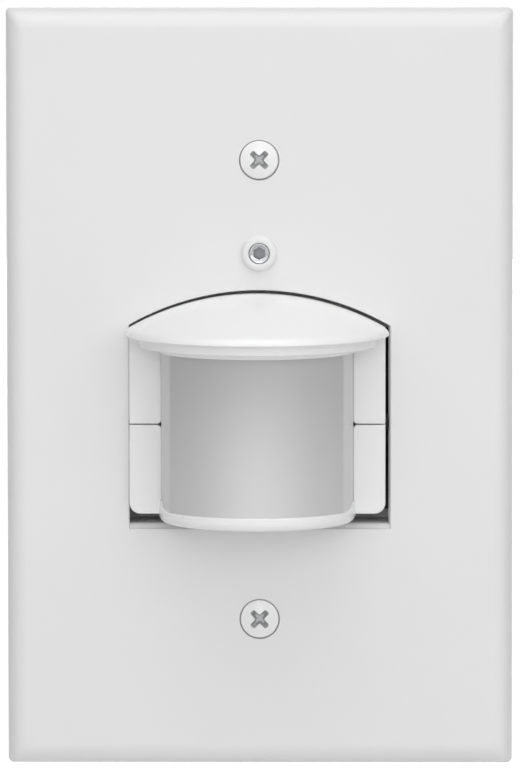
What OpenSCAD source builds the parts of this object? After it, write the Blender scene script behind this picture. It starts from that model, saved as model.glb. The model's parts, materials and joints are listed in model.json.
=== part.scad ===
// Motion sensor light switch: an oversize wall plate with a tilting sensor head.
// X runs right, Y runs into the wall and Z runs up. The wall plane is y = 0.
// The origin is the middle between the two box screws on the wall.

/* [Plate] */
// Width of the wall plate
plate_w = 91.6; // [88:0.2:96]
// Height of the wall plate
plate_h = 137.5; // [134:0.5:144]
// Depth of the plate from the wall to its front face
plate_d = 6.4; // [6:0.1:7]
// Height of the plate middle above the middle of the box screws
plate_rise = 0.45; // [0:0.05:0.8]
// Thickness of the plate skin
skin = 2.5; // [2.3:0.1:2.7]
// Radius of the rolled edge
edge_r = 3.7; // [3.2:0.1:4.2]
// Radius of the four corners of the outline
corner_r = 0.9; // [0.5:0.1:1.5]
// Overlap of forms that join in one piece
bite = 0.4; // [0.3:0.1:0.5]
// Seat clearance between parts of one assembly
seat = 0.05; // [0.04:0.01:0.08]

/* [Box screws] */
// Spacing of the two box screws
screw_pitch = 83.34; // [80:0.02:90]
// Radius of the box screw thread
screw_r = 1.75; // [1.6:0.05:1.9]
// Radius of the plain neck between the head and the wall
neck_r = 1.5; // [1.4:0.05:1.6]
// Gap around the thread in the plate
screw_gap = 0.25; // [0.2:0.05:0.4]
// Length of the box screw below its head
screw_len = 23; // [18:1:30]
// Radius of the oval screw head
screw_head_r = 3.6; // [3.4:0.1:3.9]
// Depth of the screw taper for each unit of radius
screw_taper = 1.15; // [1:0.05:1.2]
// Height of the oval crown above the plate
screw_crown = 0.9; // [0.6:0.1:1.2]
// Gap around the screw head in its countersink
sink_gap = 0.15; // [0.1:0.05:0.25]
// Wall of the plate boss around the thread
boss_wall = 3; // [2:0.1:3.5]
// Length of one wing pair of the cross recess
cross_l = 4.2; // [3.8:0.1:4.4]
// Width of a wing of the cross recess
cross_w = 0.9; // [0.7:0.05:1]
// Depth of the cross recess
cross_d = 1.7; // [1.4:0.1:1.9]

/* [Opening] */
// Gap between the head and each side of the opening
side_gap = 0.57; // [0.5:0.01:0.8]
// Gap between the ears and the opening floor
low_gap = 3; // [2.4:0.1:3.4]
// Gap between the dome and the top of the arch
arch_gap = 0.5; // [0.5:0.05:1]
// Extra radius of the arch over the dome
arch_more = 0.5; // [0.3:0.1:1]
// Wall thickness of the collar behind the opening
collar_t = 1.2; // [1:0.1:1.4]
// Depth of the collar from the front face
collar_d = 12; // [11.8:0.1:13]

/* [Head] */
// Width of the head across the ears
body_w = 46.26; // [44:0.02:50]
// Width of one ear beside the lens
ear_w = 5.8; // [5.5:0.01:6.5]
// Height of the ear bottoms
ear_low = -22.15; // [-24:0.05:-21]
// Corner radius of the ear bottoms
ear_r = 2; // [1:0.1:3]
// Distance of the ear faces in front of the front face
ear_out = 2.8; // [2.6:0.1:3]
// Sideways offset of the head in the opening
head_shift = -0.35; // [-0.35:0.05:0]
// Depth of the tilt axis behind the front face
tilt_in = 3; // [2.8:0.1:3.2]
// Height of the tilt axis
tilt_z = -5.9; // [-6.6:0.1:-5.4]
// Depth of the head behind the tilt axis
head_rear = 5; // [4.6:0.1:5]
// Thickness of the cover on the back of the head
cover_t = 1.5; // [1.2:0.1:1.8]
// Height of the seam between the two shells
seam_gap = 0.3; // [0.1:0.05:0.5]
// Wall thickness of the shells
shell_t = 1.6; // [1.4:0.1:1.8]
// Radius of the screw posts in the shells
post_r = 2.2; // [2:0.1:2.3]
// Height of the screw posts in from the lens edges
post_in = 3.25; // [3:0.05:3.6]
// Radius of the head screws
head_screw_r = 0.9; // [0.8:0.05:1]
// Radius of the head screw heads
head_head_r = 1.7; // [1.5:0.1:1.9]
// Thickness of the head screw heads
head_head_t = 1.1; // [0.9:0.1:1.3]

/* [Cap] */
// Overhang of the cap beyond the ears
cap_over = 0.77; // [0.7:0.01:0.8]
// Radius of the dome
dome_r = 47; // [44:0.5:52]
// Height of the dome edge above the cap rim
cap_side = 0.87; // [0.7:0.01:1]
// Radius of the rounded cap edge
cap_edge = 2.2; // [1.6:0.1:2.4]
// Wall thickness of the dome
dome_t = 2; // [1.6:0.1:2.2]
// Reach of the cap brim in front of the front face
brim_out = 2.2; // [2:0.1:2.4]
// Height of the wide band
band_h = 1.85; // [1.6:0.05:2.1]
// Step of the wide band in from the cap
band_step = 2.3; // [2:0.1:2.8]
// Height of the narrow band
ring_h = 1.05; // [0.9:0.05:1.3]
// Step of the narrow band out from the lens
ring_step = 0.55; // [0.4:0.05:0.8]

/* [Lens] */
// Distance of the lens centre in front of the front face
centre_out = 3.5; // [3.3:0.1:3.7]
// Thickness of the lens
lens_t = 0.8; // [0.6:0.1:0.9]
// Height of the visible top edge of the lens
lens_top = 7.45; // [6.5:0.05:8]
// Height of the lens bottom edge above the ear bottoms
lens_rise = 1.15; // [1.05:0.05:1.3]
// Depth of the lens edge in its grooves
lens_in = 0.8; // [0.6:0.1:0.9]
// Clearance of the lens in the shells
lens_gap = 0.15; // [0.1:0.05:0.2]
// Length of the straight lens legs behind the curve
leg_l = 4.4; // [4:0.1:4.6]
// Thickness of the frame behind the lens
frame_t = 1.2; // [1:0.1:1.4]
// Clearance of the frame behind the lens
frame_gap = 0.1; // [0.1:0.05:0.2]
// Step of the bottom rim out from the lens
foot_step = 0.4; // [0.3:0.05:0.6]
// Drop of the bottom rim below the ears
foot_drop = 1.25; // [0.8:0.05:1.4]
// Radius of the bottom rim edge
foot_edge = 1.5; // [1:0.1:1.8]

/* [Pivots] */
// Radius of the pivot pins
pin_r = 1; // [0.8:0.05:1.1]
// Length of the pivot pins in the head
pin_in = 4.4; // [4:0.1:4.6]
// Running clearance of the pins in their bushes
pin_gap = 0.05; // [0.04:0.01:0.08]
// Outer radius of the pivot bushes
bush_r = 1.8; // [1.7:0.05:2]
// Length of the pivot bushes
bush_l = 3.4; // [3:0.1:3.6]
// Wall of the plate blocks around the bushes
bush_wall = 1.6; // [1.2:0.1:1.8]
// Thickness of the pin blocks in the shells
pin_block = 3; // [2.6:0.1:3.2]
// Outer radius of the friction washer
washer_r = 2.2; // [2.1:0.05:2.3]
// Width of the washer ring
washer_w = 0.35; // [0.3:0.05:0.5]
// Depth of the washer pocket in the ear
washer_in = 0.7; // [0.6:0.05:0.8]

/* [Sensor] */
// Depth of the sensor board behind the lens centre
sens_in = 5.7; // [5.5:0.1:5.8]
// Distance of the board sides from the lens
sens_side = 1.9; // [1.7:0.1:2.2]
// Distance of the board edges from the lens edges
sens_edge = 2.8; // [2.6:0.1:3]
// Radius of the detector can
pyro_r = 4.1; // [3.8:0.1:4.3]
// Length of the detector can
pyro_l = 4.8; // [4.4:0.1:5]
// Width of the detector flange
pyro_lip = 0.5; // [0.4:0.1:0.6]
// Width of the detector window
window_w = 4.2; // [3.8:0.1:4.4]
// Height of the detector window
window_h = 3.2; // [2.8:0.1:3.4]
// Sideways place of the light sensor and the indicator
eye_x = 9.5; // [9:0.1:10]
// Height of the light sensor and the indicator above the lens edge
eye_up = 5.95; // [5.6:0.05:6.4]
// Radius of the light sensor
cell_r = 2.4; // [2.2:0.1:2.5]
// Length of the light sensor
cell_l = 2; // [1.8:0.1:2.2]
// Radius of the indicator
led_r = 1.5; // [1.4:0.1:1.6]
// Length of the straight part of the indicator
led_l = 3.2; // [2.8:0.1:3.4]
// Width of the ribbon plugs
plug_w = 11; // [10:0.5:12]
// Height of the ribbon plugs
plug_h = 4.2; // [4:0.1:4.6]
// Reach of the head plug behind the cover
plug_out = 1.2; // [1:0.1:1.4]
// Depth of the plug on the main board
plug_d = 3.4; // [3.2:0.1:3.6]
// Width of the ribbon
ribbon_w = 9.2; // [8:0.2:10]
// Thickness of the ribbon
ribbon_t = 0.3; // [0.2:0.05:0.4]

/* [Adjuster] */
// Height of the adjuster above the plate middle
adj_z = 24.9; // [23.6:0.05:26]
// Radius of the adjuster shaft
adj_r = 1.9; // [1.8:0.05:2]
// Running clearance of the shaft in its bushing
adj_gap = 0.05; // [0.04:0.01:0.08]
// Radius of the bushing barrel in the plate
barrel_r = 2.5; // [2.4:0.05:2.7]
// Height of the snap ridge on the barrel
snap = 0.4; // [0.3:0.05:0.5]
// Radius of the bushing ring
ring_out = 3.2; // [3:0.05:3.5]
// Height of the bushing ring above the plate
ring_rise = 1.5; // [1.2:0.1:1.8]
// Radius of the rounded ring edge
ring_edge = 0.8; // [0.5:0.1:0.9]
// Depth of the shaft end below the ring
shaft_in = 0.35; // [0.2:0.05:0.5]
// Size of the hex socket across its flats
hex_af = 2; // [1.5:0.1:2.2]
// Depth of the hex socket
hex_d = 2.6; // [2:0.1:3]
// Width of the square drive on the shaft
drive_w = 1.6; // [1.4:0.1:1.8]
// Radius of the trimmer rotor
rotor_r = 2.6; // [2.4:0.05:2.7]
// Width of the trimmer case
trim_w = 6.5; // [6.4:0.1:7]
// Depth of the trimmer case
trim_d = 3.7; // [3.6:0.1:3.9]

/* [Housing] */
// Width of the rear housing
case_w = 45; // [42:0.2:48]
// Height of the rear housing
case_h = 66; // [62:0.2:70]
// Depth of the rear housing behind the wall plane
case_d = 36.5; // [34:0.5:40]
// Wall thickness of the rear housing
case_t = 1.6; // [1.4:0.1:1.8]
// Thickness of the housing floor
floor_t = 1.8; // [1.6:0.1:2.2]
// Thickness of the housing flange and tabs
flange_t = 2; // [1.6:0.1:2.2]
// Gap between the housing flange and the collar
flange_gap = 0.1; // [0.05:0.05:0.2]
// Spacing of the housing screws across
boss_x = 30; // [28:0.5:33]
// Radius of the housing screw thread
boss_screw_r = 1.2; // [1.1:0.05:1.3]
// Radius of the housing screw heads
boss_head_r = 2.3; // [2.1:0.1:2.5]
// Thickness of the housing screw heads
boss_head_t = 1.6; // [1.4:0.1:1.8]
// Wall of the plate bosses around the housing screws
boss_skin = 1.3; // [1.1:0.1:1.5]
// Gap between the housing wall and its screw heads
tab_gap = 0.3; // [0.2:0.05:0.5]
// Radius of the housing tabs
tab_r = 3.4; // [3.2:0.1:3.8]
// Distance of the upper end of the vents below the housing wall
vent_drop = 5.4; // [5:0.1:6]
// Length of the vents
vent_l = 12; // [10:0.5:14]
// Width of a vent
vent_w = 1.6; // [1.4:0.1:2]
// Spacing of the vents
vent_pitch = 5; // [4.6:0.1:5.2]
// Number of vents to each side of the middle
vent_n = 3; // [2:1:3]

/* [Terminals] */
// Spacing of the three wiring terminals
term_x = 13; // [12:0.1:14]
// Height of the terminals above the housing wall
term_up = 7.4; // [7:0.1:8]
// Radius of the terminal screw thread
term_r = 1.6; // [1.5:0.05:1.8]
// Radius of the terminal screw heads
term_head_r = 3.5; // [3.2:0.1:3.8]
// Thickness of the terminal screw heads
term_head_t = 2; // [1.8:0.1:2.2]
// Length of the terminal screws in the housing
term_len = 6; // [5:0.1:6.4]
// Width of the live terminal plates
term_w = 9; // [8.4:0.1:9.4]
// Width of the ground terminal plate
ground_w = 8; // [7.6:0.1:8.4]
// Height of the terminal plates
term_h = 10; // [9:0.1:11]
// Thickness of the terminal plates
term_t = 0.9; // [0.8:0.1:1.1]
// Wall of the housing around the terminal threads
term_wall = 1.8; // [1.4:0.1:2]

/* [Board parts] */
// Front face of the main board behind the wall plane
board_y = 11; // [10.8:0.1:11.4]
// Thickness of the circuit boards
board_t = 1.6; // [1.5:0.1:1.8]
// Gap between the main board and the housing walls
board_gap = 0.5; // [0.4:0.1:0.8]
// Radius of the board screws
board_screw_r = 0.95; // [0.9:0.05:1]
// Radius of the board screw heads
board_head_r = 2; // [1.8:0.1:2.1]
// Radius of the housing posts under the board
stand_r = 2.6; // [2.4:0.1:2.8]
// Distance of the housing posts from the side walls
stand_x = 3.9; // [3.6:0.1:4.2]
// Distance of the housing posts from the end walls
stand_z = 4.4; // [4:0.1:4.8]
// Width of the relay
relay_w = 28; // [26:0.5:30]
// Height of the relay on the board
relay_d = 15.7; // [15:0.1:16.5]
// Depth of the relay along the board
relay_h = 12.7; // [12:0.1:13.2]
// Place of the relay middle up the board
relay_z = 1.35; // [1:0.05:1.6]
// Width of the film capacitor
film_w = 18; // [16:0.5:19]
// Height of the film capacitor on the board
film_d = 14; // [13:0.5:15]
// Depth of the film capacitor along the board
film_h = 8; // [7:0.1:8.2]
// Sideways place of the film capacitor
film_x = 2; // [1.8:0.1:3]
// Gap between the rows of parts on the board
row_gap = 1; // [0.8:0.1:1.2]
// Radius of the smoothing capacitor
elco_r = 5; // [4.5:0.1:5.2]
// Length of the smoothing capacitor
elco_l = 16; // [14:0.5:17]
// Distance of the smoothing capacitor from the end wall
elco_in = 1.2; // [1:0.1:1.4]
// Radius of the varistor
mov_r = 5; // [4.5:0.1:5.2]
// Thickness of the varistor
mov_t = 4; // [3.6:0.1:4.4]
// Sideways place of the varistor
mov_x = -13.4; // [-13.8:0.1:-13]
// Radius of the fuse body
fuse_r = 2.4; // [2.2:0.1:2.6]
// Length of the fuse
fuse_l = 20; // [18:0.5:21]
// Length of the fuse caps
fuse_cap = 4.6; // [4:0.1:5]
// Sideways place of the fuse
fuse_x = -6; // [-6.5:0.1:-5]
// Height of the fuse above the board
fuse_up = 3.6; // [3.4:0.1:4]
// Length of the control chip
chip_w = 10; // [9:0.1:11]
// Width of the control chip
chip_h = 6.4; // [6:0.1:7]
// Height of the control chip on the board
chip_d = 3.4; // [3:0.1:3.8]
// Radius of the bridge rectifier
bridge_r = 4.4; // [4:0.1:4.5]
// Height of the bridge rectifier on the board
bridge_d = 5.6; // [5:0.1:6]
// Sideways place of the bridge rectifier
bridge_x = 13.6; // [13:0.1:13.8]
// Width of the wire legs of the parts
leg_w = 0.8; // [0.6:0.1:1]

/* [Hidden] */
face_y = -plate_d;
back_y = face_y + skin;
collar_end = face_y + collar_d;
bw = body_w / 2;
open_x = bw + side_gap;
open_low = ear_low - low_gap;
cap_r = bw + cap_over;
band_r = cap_r - band_step;
lens_r = bw - ear_w;
ring_r = lens_r + ring_step;
foot_r = lens_r + foot_step;
lens_low = ear_low + lens_rise;
foot_low = ear_low - foot_drop;
band_z = lens_top + ring_h;
rim_z = band_z + band_h;
cap_top = rim_z + cap_side + dome_r - sqrt(dome_r * dome_r - cap_r * cap_r);
arch_top = cap_top + arch_gap;
arch_r = dome_r + arch_more;
tilt_y = face_y + tilt_in;
mid_y = face_y - centre_out;
ear_y = face_y - ear_out;
rear_y = tilt_y + head_rear;
cover_y = rear_y - cover_t;
brim_y = face_y - brim_out;
up_z = tilt_z + seam_gap / 2;
dn_z = tilt_z - seam_gap / 2;
win_x = lens_r + lens_gap;
win_y = mid_y + leg_l + lens_gap;
lens_in_r = lens_r - lens_t;
cav_r = lens_in_r - lens_t;
eye_z = (lens_top + lens_low) / 2;
cell_z = lens_low + eye_up;
post_x = win_x + post_r + seat;
post_up = lens_top - post_in;
post_dn = lens_low + post_in;
sens_y = mid_y + sens_in;
sens_x = lens_in_r - sens_side;
ring_y = face_y - ring_rise;
drive_y = board_y - trim_d;
sink_r = screw_head_r + sink_gap;
hole_r = screw_r + screw_gap;
case_y = collar_end + flange_gap;
tab_y = case_y + flange_t;
case_x = case_w / 2 - case_t;
case_z = case_h / 2 - case_t;
boss_z = case_h / 2 + boss_head_r + tab_gap;
pad_x = case_x - stand_x;
pad_z = case_z - stand_z;
term_z = term_up - case_z;
comp_y = board_y + board_t;
relay_top = relay_z + relay_h / 2;
relay_low = relay_z - relay_h / 2;
film_z = relay_top + row_gap + film_h / 2;
elco_z = case_z - elco_in - elco_r;
low_row = relay_low - row_gap - bridge_r - row_gap;
chip_z = low_row - bridge_r - row_gap - chip_h / 2 + seat;
$fn = 64;

// A flat outline drawn in x and z, given depth from y0 to y1
module slab(y0, y1) {
    translate([0, y1, 0])
    rotate([90, 0, 0])
    linear_extrude(y1 - y0)
    children();
}

// A round bar along y
module rod_y(r, y0, y1) {
    translate([0, y0, 0])
    rotate([-90, 0, 0])
    cylinder(r = r, h = y1 - y0);
}

// A cone along y
module cone_y(ra, rb, y0, y1) {
    translate([0, y0, 0])
    rotate([-90, 0, 0])
    cylinder(r1 = ra, r2 = rb, h = y1 - y0);
}

// A round bar along x
module rod_x(r, x0, x1) {
    translate([x0, 0, 0])
    rotate([0, 90, 0])
    cylinder(r = r, h = x1 - x0);
}

// A box from its limits
module block(x0, x1, y0, y1, z0, z1) {
    translate([x0, y0, z0])
    cube([x1 - x0, y1 - y0, z1 - z0]);
}

// Both sides of the object, one mirrored
module sides() {
    for (s = [0, 1])
    mirror([s, 0, 0])
    children();
}

// The four corners of a rectangle in x and z, each x and z from the middle
module corners(x, z) {
    for (sx = [-1, 1], sz = [-1, 1])
    translate([sx * x, 0, sz * z])
    children();
}

// The two box screw places
module box_places() {
    for (s = [-1, 1])
    translate([0, 0, s * screw_pitch / 2])
    children();
}

// A cross recess of wings l long and w wide, from y0 to y1
module cross_cut(l, w, y0, y1) {
    block(-l / 2, l / 2, y0, y1, -w / 2, w / 2);
    block(-w / 2, w / 2, y0, y1, -l / 2, l / 2);
}

// A rectangle with four round corners, about its middle
module round_rect(w, h, r) {
    square([w - 2 * r, h], center = true);
    square([w, h - 2 * r], center = true);
    for (sx = [-1, 1], sy = [-1, 1])
    translate([sx * (w / 2 - r), sy * (h / 2 - r)])
    circle(r = r);
}

// Section of the rolled plate, w wide, from depth -d to depth end
module rolled_section(w, d, r, end) {
    translate([-w / 2, -d + r])
    square([w, d - r + end]);
    translate([-w / 2 + r, -d])
    square([w - 2 * r, d + end]);
    for (s = [-1, 1])
    translate([s * (w / 2 - r), -d + r])
    circle(r = r);
}

// A plate with rolled edges that meet in mitres
module rolled_plate(w, h, d, r, end) {
    intersection() {
        linear_extrude(h, center = true)
        rolled_section(w, d, r, end);
        rotate([0, 90, 0])
        linear_extrude(w, center = true)
        rolled_section(h, d, r, end);
    }
}

// Outline of the head opening, grown by t
module opening(t) {
    intersection() {
        translate([-open_x - t, open_low - t])
        square([2 * (open_x + t), arch_top - open_low + 2 * t]);
        translate([0, arch_top - arch_r])
        circle(r = arch_r + t, $fn = 240);
    }
}

// Countersink and clearance hole for a box screw
module screw_sink() {
    cone_y(sink_r, hole_r, face_y, face_y + (sink_r - hole_r) * screw_taper);
    rod_y(sink_r, face_y - 1, face_y);
    rod_y(hole_r, face_y, 1);
}

module wall_plate() {
    color("white")
    difference() {
        union() {
            difference() {
                translate([0, 0, plate_rise])
                intersection() {
                    rolled_plate(plate_w, plate_h, plate_d, edge_r, 0);
                    slab(-plate_d - 1, 0)
                    round_rect(plate_w, plate_h, corner_r);
                }
                translate([0, 0, plate_rise])
                rolled_plate(plate_w - 2 * skin, plate_h - 2 * skin, plate_d - skin,
                    edge_r - skin, 1);
            }
            slab(back_y - bite, collar_end)
            opening(collar_t);
            box_places()
            rod_y(hole_r + boss_wall, back_y - bite, -bite);
            corners(boss_x / 2, boss_z)
            rod_y(boss_screw_r + boss_skin, back_y - bite, collar_end);
            sides()
            block(open_x + collar_t / 2, open_x + collar_t + bush_l, back_y - bite, -bite,
                tilt_z - bush_r - bush_wall, tilt_z + bush_r + bush_wall);
        }
        slab(face_y - 1, collar_end + 1)
        opening(0);
        box_places()
        screw_sink();
        translate([0, 0, adj_z])
        rod_y(barrel_r + seat, face_y - 1, 1);
        corners(boss_x / 2, boss_z)
        rod_y(boss_screw_r + seat, back_y + 1, collar_end + 1);
        sides()
        translate([0, tilt_y, tilt_z])
        rod_x(bush_r + seat, open_x - 1, open_x + bush_l + seat);
    }
}

module box_screw() {
    sink = (screw_head_r - neck_r) * screw_taper;
    crown_r = (screw_head_r * screw_head_r + screw_crown * screw_crown) / (2 * screw_crown);
    top_y = face_y - screw_crown;
    difference() {
        union() {
            translate([0, top_y + crown_r, 0])
            rotate([90, 0, 0])
            rotate_extrude()
            intersection() {
                circle(r = crown_r, $fn = 180);
                translate([0, crown_r - screw_crown])
                square([screw_head_r, 2 * screw_crown]);
            }
            cone_y(screw_head_r, neck_r, face_y, face_y + sink);
            rod_y(neck_r, face_y + sink - bite, bite);
            rod_y(screw_r, 0, face_y + screw_len);
        }
        rotate([0, 45, 0])
        cross_cut(cross_l, cross_w, top_y - 1, top_y + cross_d);
        cone_y(cross_l / 2.8, cross_w * 0.8, top_y - bite / 2, top_y + cross_d + bite);
    }
}

module mounting_screws() {
    color("white")
    box_places()
    box_screw();
}

module adjuster_bushing() {
    color("white")
    translate([0, 0, adj_z])
    difference() {
        union() {
            rod_y(barrel_r, face_y - bite, back_y + 3.5 * snap);
            translate([0, face_y, 0])
            rotate([90, 0, 0])
            rotate_extrude()
            intersection() {
                square([ring_out, ring_rise]);
                union() {
                    square([ring_out, ring_rise - ring_edge]);
                    square([ring_out - ring_edge, ring_rise]);
                    translate([ring_out - ring_edge, ring_rise - ring_edge])
                    circle(r = ring_edge, $fn = 32);
                }
            }
            cone_y(barrel_r + snap, barrel_r, back_y + seat, back_y + 3 * snap);
        }
        rod_y(adj_r + adj_gap, ring_y - 1, 1);
    }
}

module adjuster_shaft() {
    end_y = ring_y + shaft_in;
    color("silver")
    translate([0, 0, adj_z])
    difference() {
        union() {
            rod_y(adj_r, end_y, drive_y + seat);
            block(-drive_w / 2, drive_w / 2, drive_y, board_y - trim_d / 2, -drive_w / 2, drive_w / 2);
        }
        translate([0, end_y + hex_d, 0])
        rotate([90, 30, 0])
        cylinder(r = hex_af / sqrt(3), h = hex_d + 1, $fn = 6);
    }
}

module trimmer_rotor() {
    hole = drive_w / 2 + seat;
    color("ivory")
    translate([0, 0, adj_z])
    difference() {
        rod_y(rotor_r, drive_y + 4 * seat, board_y - trim_d / 2 + 6 * seat);
        block(-hole, hole, drive_y - 1, board_y - trim_d / 2 + seat, -hole, hole);
    }
}

module trimmer_case() {
    color("royalblue")
    translate([0, 0, adj_z])
    difference() {
        block(-trim_w / 2, trim_w / 2, drive_y, board_y, -trim_w / 2, trim_w / 2);
        rod_y(rotor_r + adj_gap, drive_y - 1, board_y - trim_d / 2 + 7 * seat);
    }
}

module pivot_bushes() {
    color("dimgray")
    sides()
    translate([0, tilt_y, tilt_z])
    difference() {
        rod_x(bush_r, open_x, open_x + bush_l);
        rod_x(pin_r + pin_gap, open_x - 1, open_x + bush_l + 1);
    }
}

// Half section of the cap, in radius and height
module cap_section() {
    centre = cap_top - dome_r;
    fx = cap_r - cap_edge;
    fz = centre + sqrt(pow(dome_r - cap_edge, 2) - fx * fx);
    reach = 4 * cap_edge;
    ux = reach * fx / (dome_r - cap_edge);
    uz = reach * (fz - centre) / (dome_r - cap_edge);
    difference() {
        intersection() {
            translate([0, centre])
            circle(r = dome_r, $fn = 150);
            translate([0, rim_z])
            square([cap_r, cap_top - rim_z + 1]);
        }
        difference() {
            polygon([[fx, fz], [fx + ux, fz + uz], [fx + reach, fz + uz], [fx + reach, fz]]);
            translate([fx, fz])
            circle(r = cap_edge, $fn = 48);
        }
    }
}

// Space left in the head for the lens curve and its legs, z0 to z1
module lens_groove(z0, z1) {
    difference() {
        translate([0, mid_y, z0])
        cylinder(r = win_x, h = z1 - z0);
        translate([0, mid_y, z0 - 1])
        cylinder(r = lens_in_r - lens_gap, h = z1 - z0 + 2);
        block(-cap_r, cap_r, mid_y + lens_gap, mid_y + cap_r, z0 - 1, z1 + 1);
    }
}

// Bosses inside one shell, at height pz for the screw
module shell_bosses(pz, z0, z1) {
    sides() {
        translate([post_x, 0, pz])
        rod_y(post_r, ear_y + 1, cover_y - seat);
        block(bw - shell_t - pin_block, bw - shell_t / 2, tilt_y - pin_block * 0.8,
            tilt_y + pin_block * 0.8, z0, z1);
    }
}

// Holes cut in both shells
module shell_holes(pz) {
    sides() {
        translate([post_x, 0, pz])
        rod_y(head_screw_r + seat, ear_y + shell_t + head_screw_r, rear_y + 1);
        translate([0, tilt_y, tilt_z])
        rod_x(pin_r + seat, bw - pin_in - 1, bw + 1);
    }
    translate([0, tilt_y, tilt_z])
    rod_x(washer_r + 2 * seat, bw - washer_in, bw + 1);
}

// Everything in front of depth y1, between heights z0 and z1
module front_space(y1, z0, z1) {
    block(-cap_r, cap_r, mid_y - cap_r, y1, z0, z1);
}

module upper_shell() {
    color("whitesmoke")
    translate([head_shift, 0, 0])
    difference() {
        union() {
            difference() {
                union() {
                    intersection() {
                        translate([0, mid_y, 0])
                        rotate_extrude($fn = 96)
                        cap_section();
                        union() {
                            front_space(brim_y, rim_z - 1, cap_top + 1);
                            block(-bw, bw, brim_y - bite, rear_y, rim_z - 1, cap_top + 1);
                        }
                    }
                    intersection() {
                        union() {
                            translate([0, mid_y, band_z])
                            cylinder(r = band_r, h = band_h + bite / 2);
                            translate([0, mid_y, lens_top])
                            cylinder(r = ring_r, h = rim_z - lens_top);
                        }
                        front_space(ear_y + shell_t - seat, lens_top - 1, cap_top);
                    }
                    block(-bw, bw, ear_y, rear_y, up_z, rim_z + bite / 2);
                }
                translate([0, mid_y, 0])
                rotate_extrude()
                intersection() {
                    translate([0, cap_top - dome_r])
                    circle(r = dome_r - dome_t, $fn = 150);
                    translate([0, lens_top - 1])
                    square([cav_r, cap_top]);
                }
                block(-win_x, win_x, mid_y - cap_r, win_y, up_z - 1, lens_top);
                block(shell_t - bw, bw - shell_t, ear_y + shell_t, rear_y + 1, up_z - 1,
                    rim_z - shell_t);
            }
            shell_bosses(post_up, up_z, up_z + pin_block);
        }
        lens_groove(lens_top - 1, lens_top + lens_in + lens_gap);
        shell_holes(post_up);
    }
}

// Half section of the bottom rim, in radius and height
module foot_section() {
    difference() {
        translate([0, foot_low])
        square([foot_r, lens_low - foot_low]);
        difference() {
            translate([foot_r - foot_edge, foot_low - 1])
            square([foot_edge + 1, foot_edge + 1]);
            translate([foot_r - foot_edge, foot_low + foot_edge])
            circle(r = foot_edge, $fn = 48);
        }
    }
}

module lower_shell() {
    h = dn_z - ear_low;
    color("whitesmoke")
    translate([head_shift, 0, 0])
    difference() {
        union() {
            difference() {
                union() {
                    slab(ear_y, rear_y) {
                        translate([-bw, ear_low + ear_r])
                        square([2 * bw, h - ear_r]);
                        translate([-bw + ear_r, ear_low])
                        square([2 * (bw - ear_r), h]);
                        for (s = [-1, 1])
                        translate([s * (bw - ear_r), ear_low + ear_r])
                        circle(r = ear_r);
                    }
                    intersection() {
                        translate([0, mid_y, 0])
                        rotate_extrude($fn = 96)
                        foot_section();
                        front_space(ear_y + shell_t - seat, foot_low - 1, 0);
                    }
                }
                block(-win_x, win_x, mid_y - cap_r, win_y, lens_low, dn_z + 1);
                block(shell_t - bw, bw - shell_t, ear_y + shell_t, rear_y + 1, ear_low + shell_t,
                    dn_z + 1);
            }
            shell_bosses(post_dn, dn_z - pin_block, dn_z);
        }
        lens_groove(lens_low - lens_in - lens_gap, lens_low + 1);
        shell_holes(post_dn);
    }
}

module lens() {
    color([0.72, 0.73, 0.74, 0.9])
    translate([head_shift, 0, 0])
    union() {
        difference() {
            translate([0, mid_y, lens_low - lens_in])
            cylinder(r = lens_r, h = lens_top - lens_low + 2 * lens_in, $fn = 96);
            translate([0, mid_y, lens_low - 2 * lens_in])
            cylinder(r = lens_in_r, h = lens_top - lens_low + 4 * lens_in, $fn = 96);
            block(-cap_r, cap_r, mid_y, mid_y + cap_r, lens_low - 2 * lens_in, lens_top + 2 * lens_in);
        }
        sides()
        block(lens_in_r, lens_r, mid_y - bite, mid_y + leg_l, lens_low + lens_gap, lens_top - lens_gap);
    }
}

module lens_frame() {
    fr_out = lens_in_r - frame_gap;
    fr_in = fr_out - frame_t;
    z0 = ear_low + shell_t + frame_gap;
    z1 = lens_top - 2 * frame_gap;
    end_y = sens_y - 2 * frame_gap;
    color("gainsboro")
    translate([head_shift, 0, 0])
    difference() {
        union() {
            difference() {
                translate([0, mid_y, z0])
                cylinder(r = fr_out, h = z1 - z0);
                translate([0, mid_y, z0 - 1])
                cylinder(r = fr_in, h = z1 - z0 + 2);
                block(frame_t / 2 - fr_in, fr_in - frame_t / 2, mid_y - cap_r, end_y, z0 - 1, z1 + 1);
                block(-cap_r, cap_r, mid_y, mid_y + cap_r, z0 - 1, z1 + 1);
            }
            sides()
            block(fr_in, fr_out, mid_y - bite / 2, end_y, z0, z1);
            block(-fr_out, fr_out, end_y - frame_t, end_y, z0, z1);
        }
        translate([0, 0, eye_z])
        rod_y(pyro_r + pyro_lip + 6 * frame_gap, mid_y, sens_y);
        translate([eye_x, 0, cell_z])
        rod_y(cell_r + 3 * frame_gap, mid_y, sens_y);
        translate([-eye_x, 0, cell_z])
        rod_y(led_r + 7 * frame_gap, mid_y, sens_y);
    }
}

module pivot_pins() {
    color("lightgray")
    translate([head_shift, tilt_y, tilt_z]) {
        rod_x(pin_r, bw - pin_in, open_x - head_shift + bush_l - bite);
        mirror([1, 0, 0])
        rod_x(pin_r, bw - pin_in, open_x + head_shift + bush_l - bite);
    }
}

module friction_washer() {
    x0 = bw + head_shift - washer_in + seat;
    x1 = open_x - seat;
    lip = pin_r + 3 * pin_gap;
    color("silver")
    translate([x0, tilt_y, tilt_z])
    rotate([0, 90, 0])
    rotate_extrude()
    polygon([[washer_r - washer_w, 0], [washer_r, 0], [lip + washer_w, x1 - x0], [lip, x1 - x0]]);
}

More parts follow.
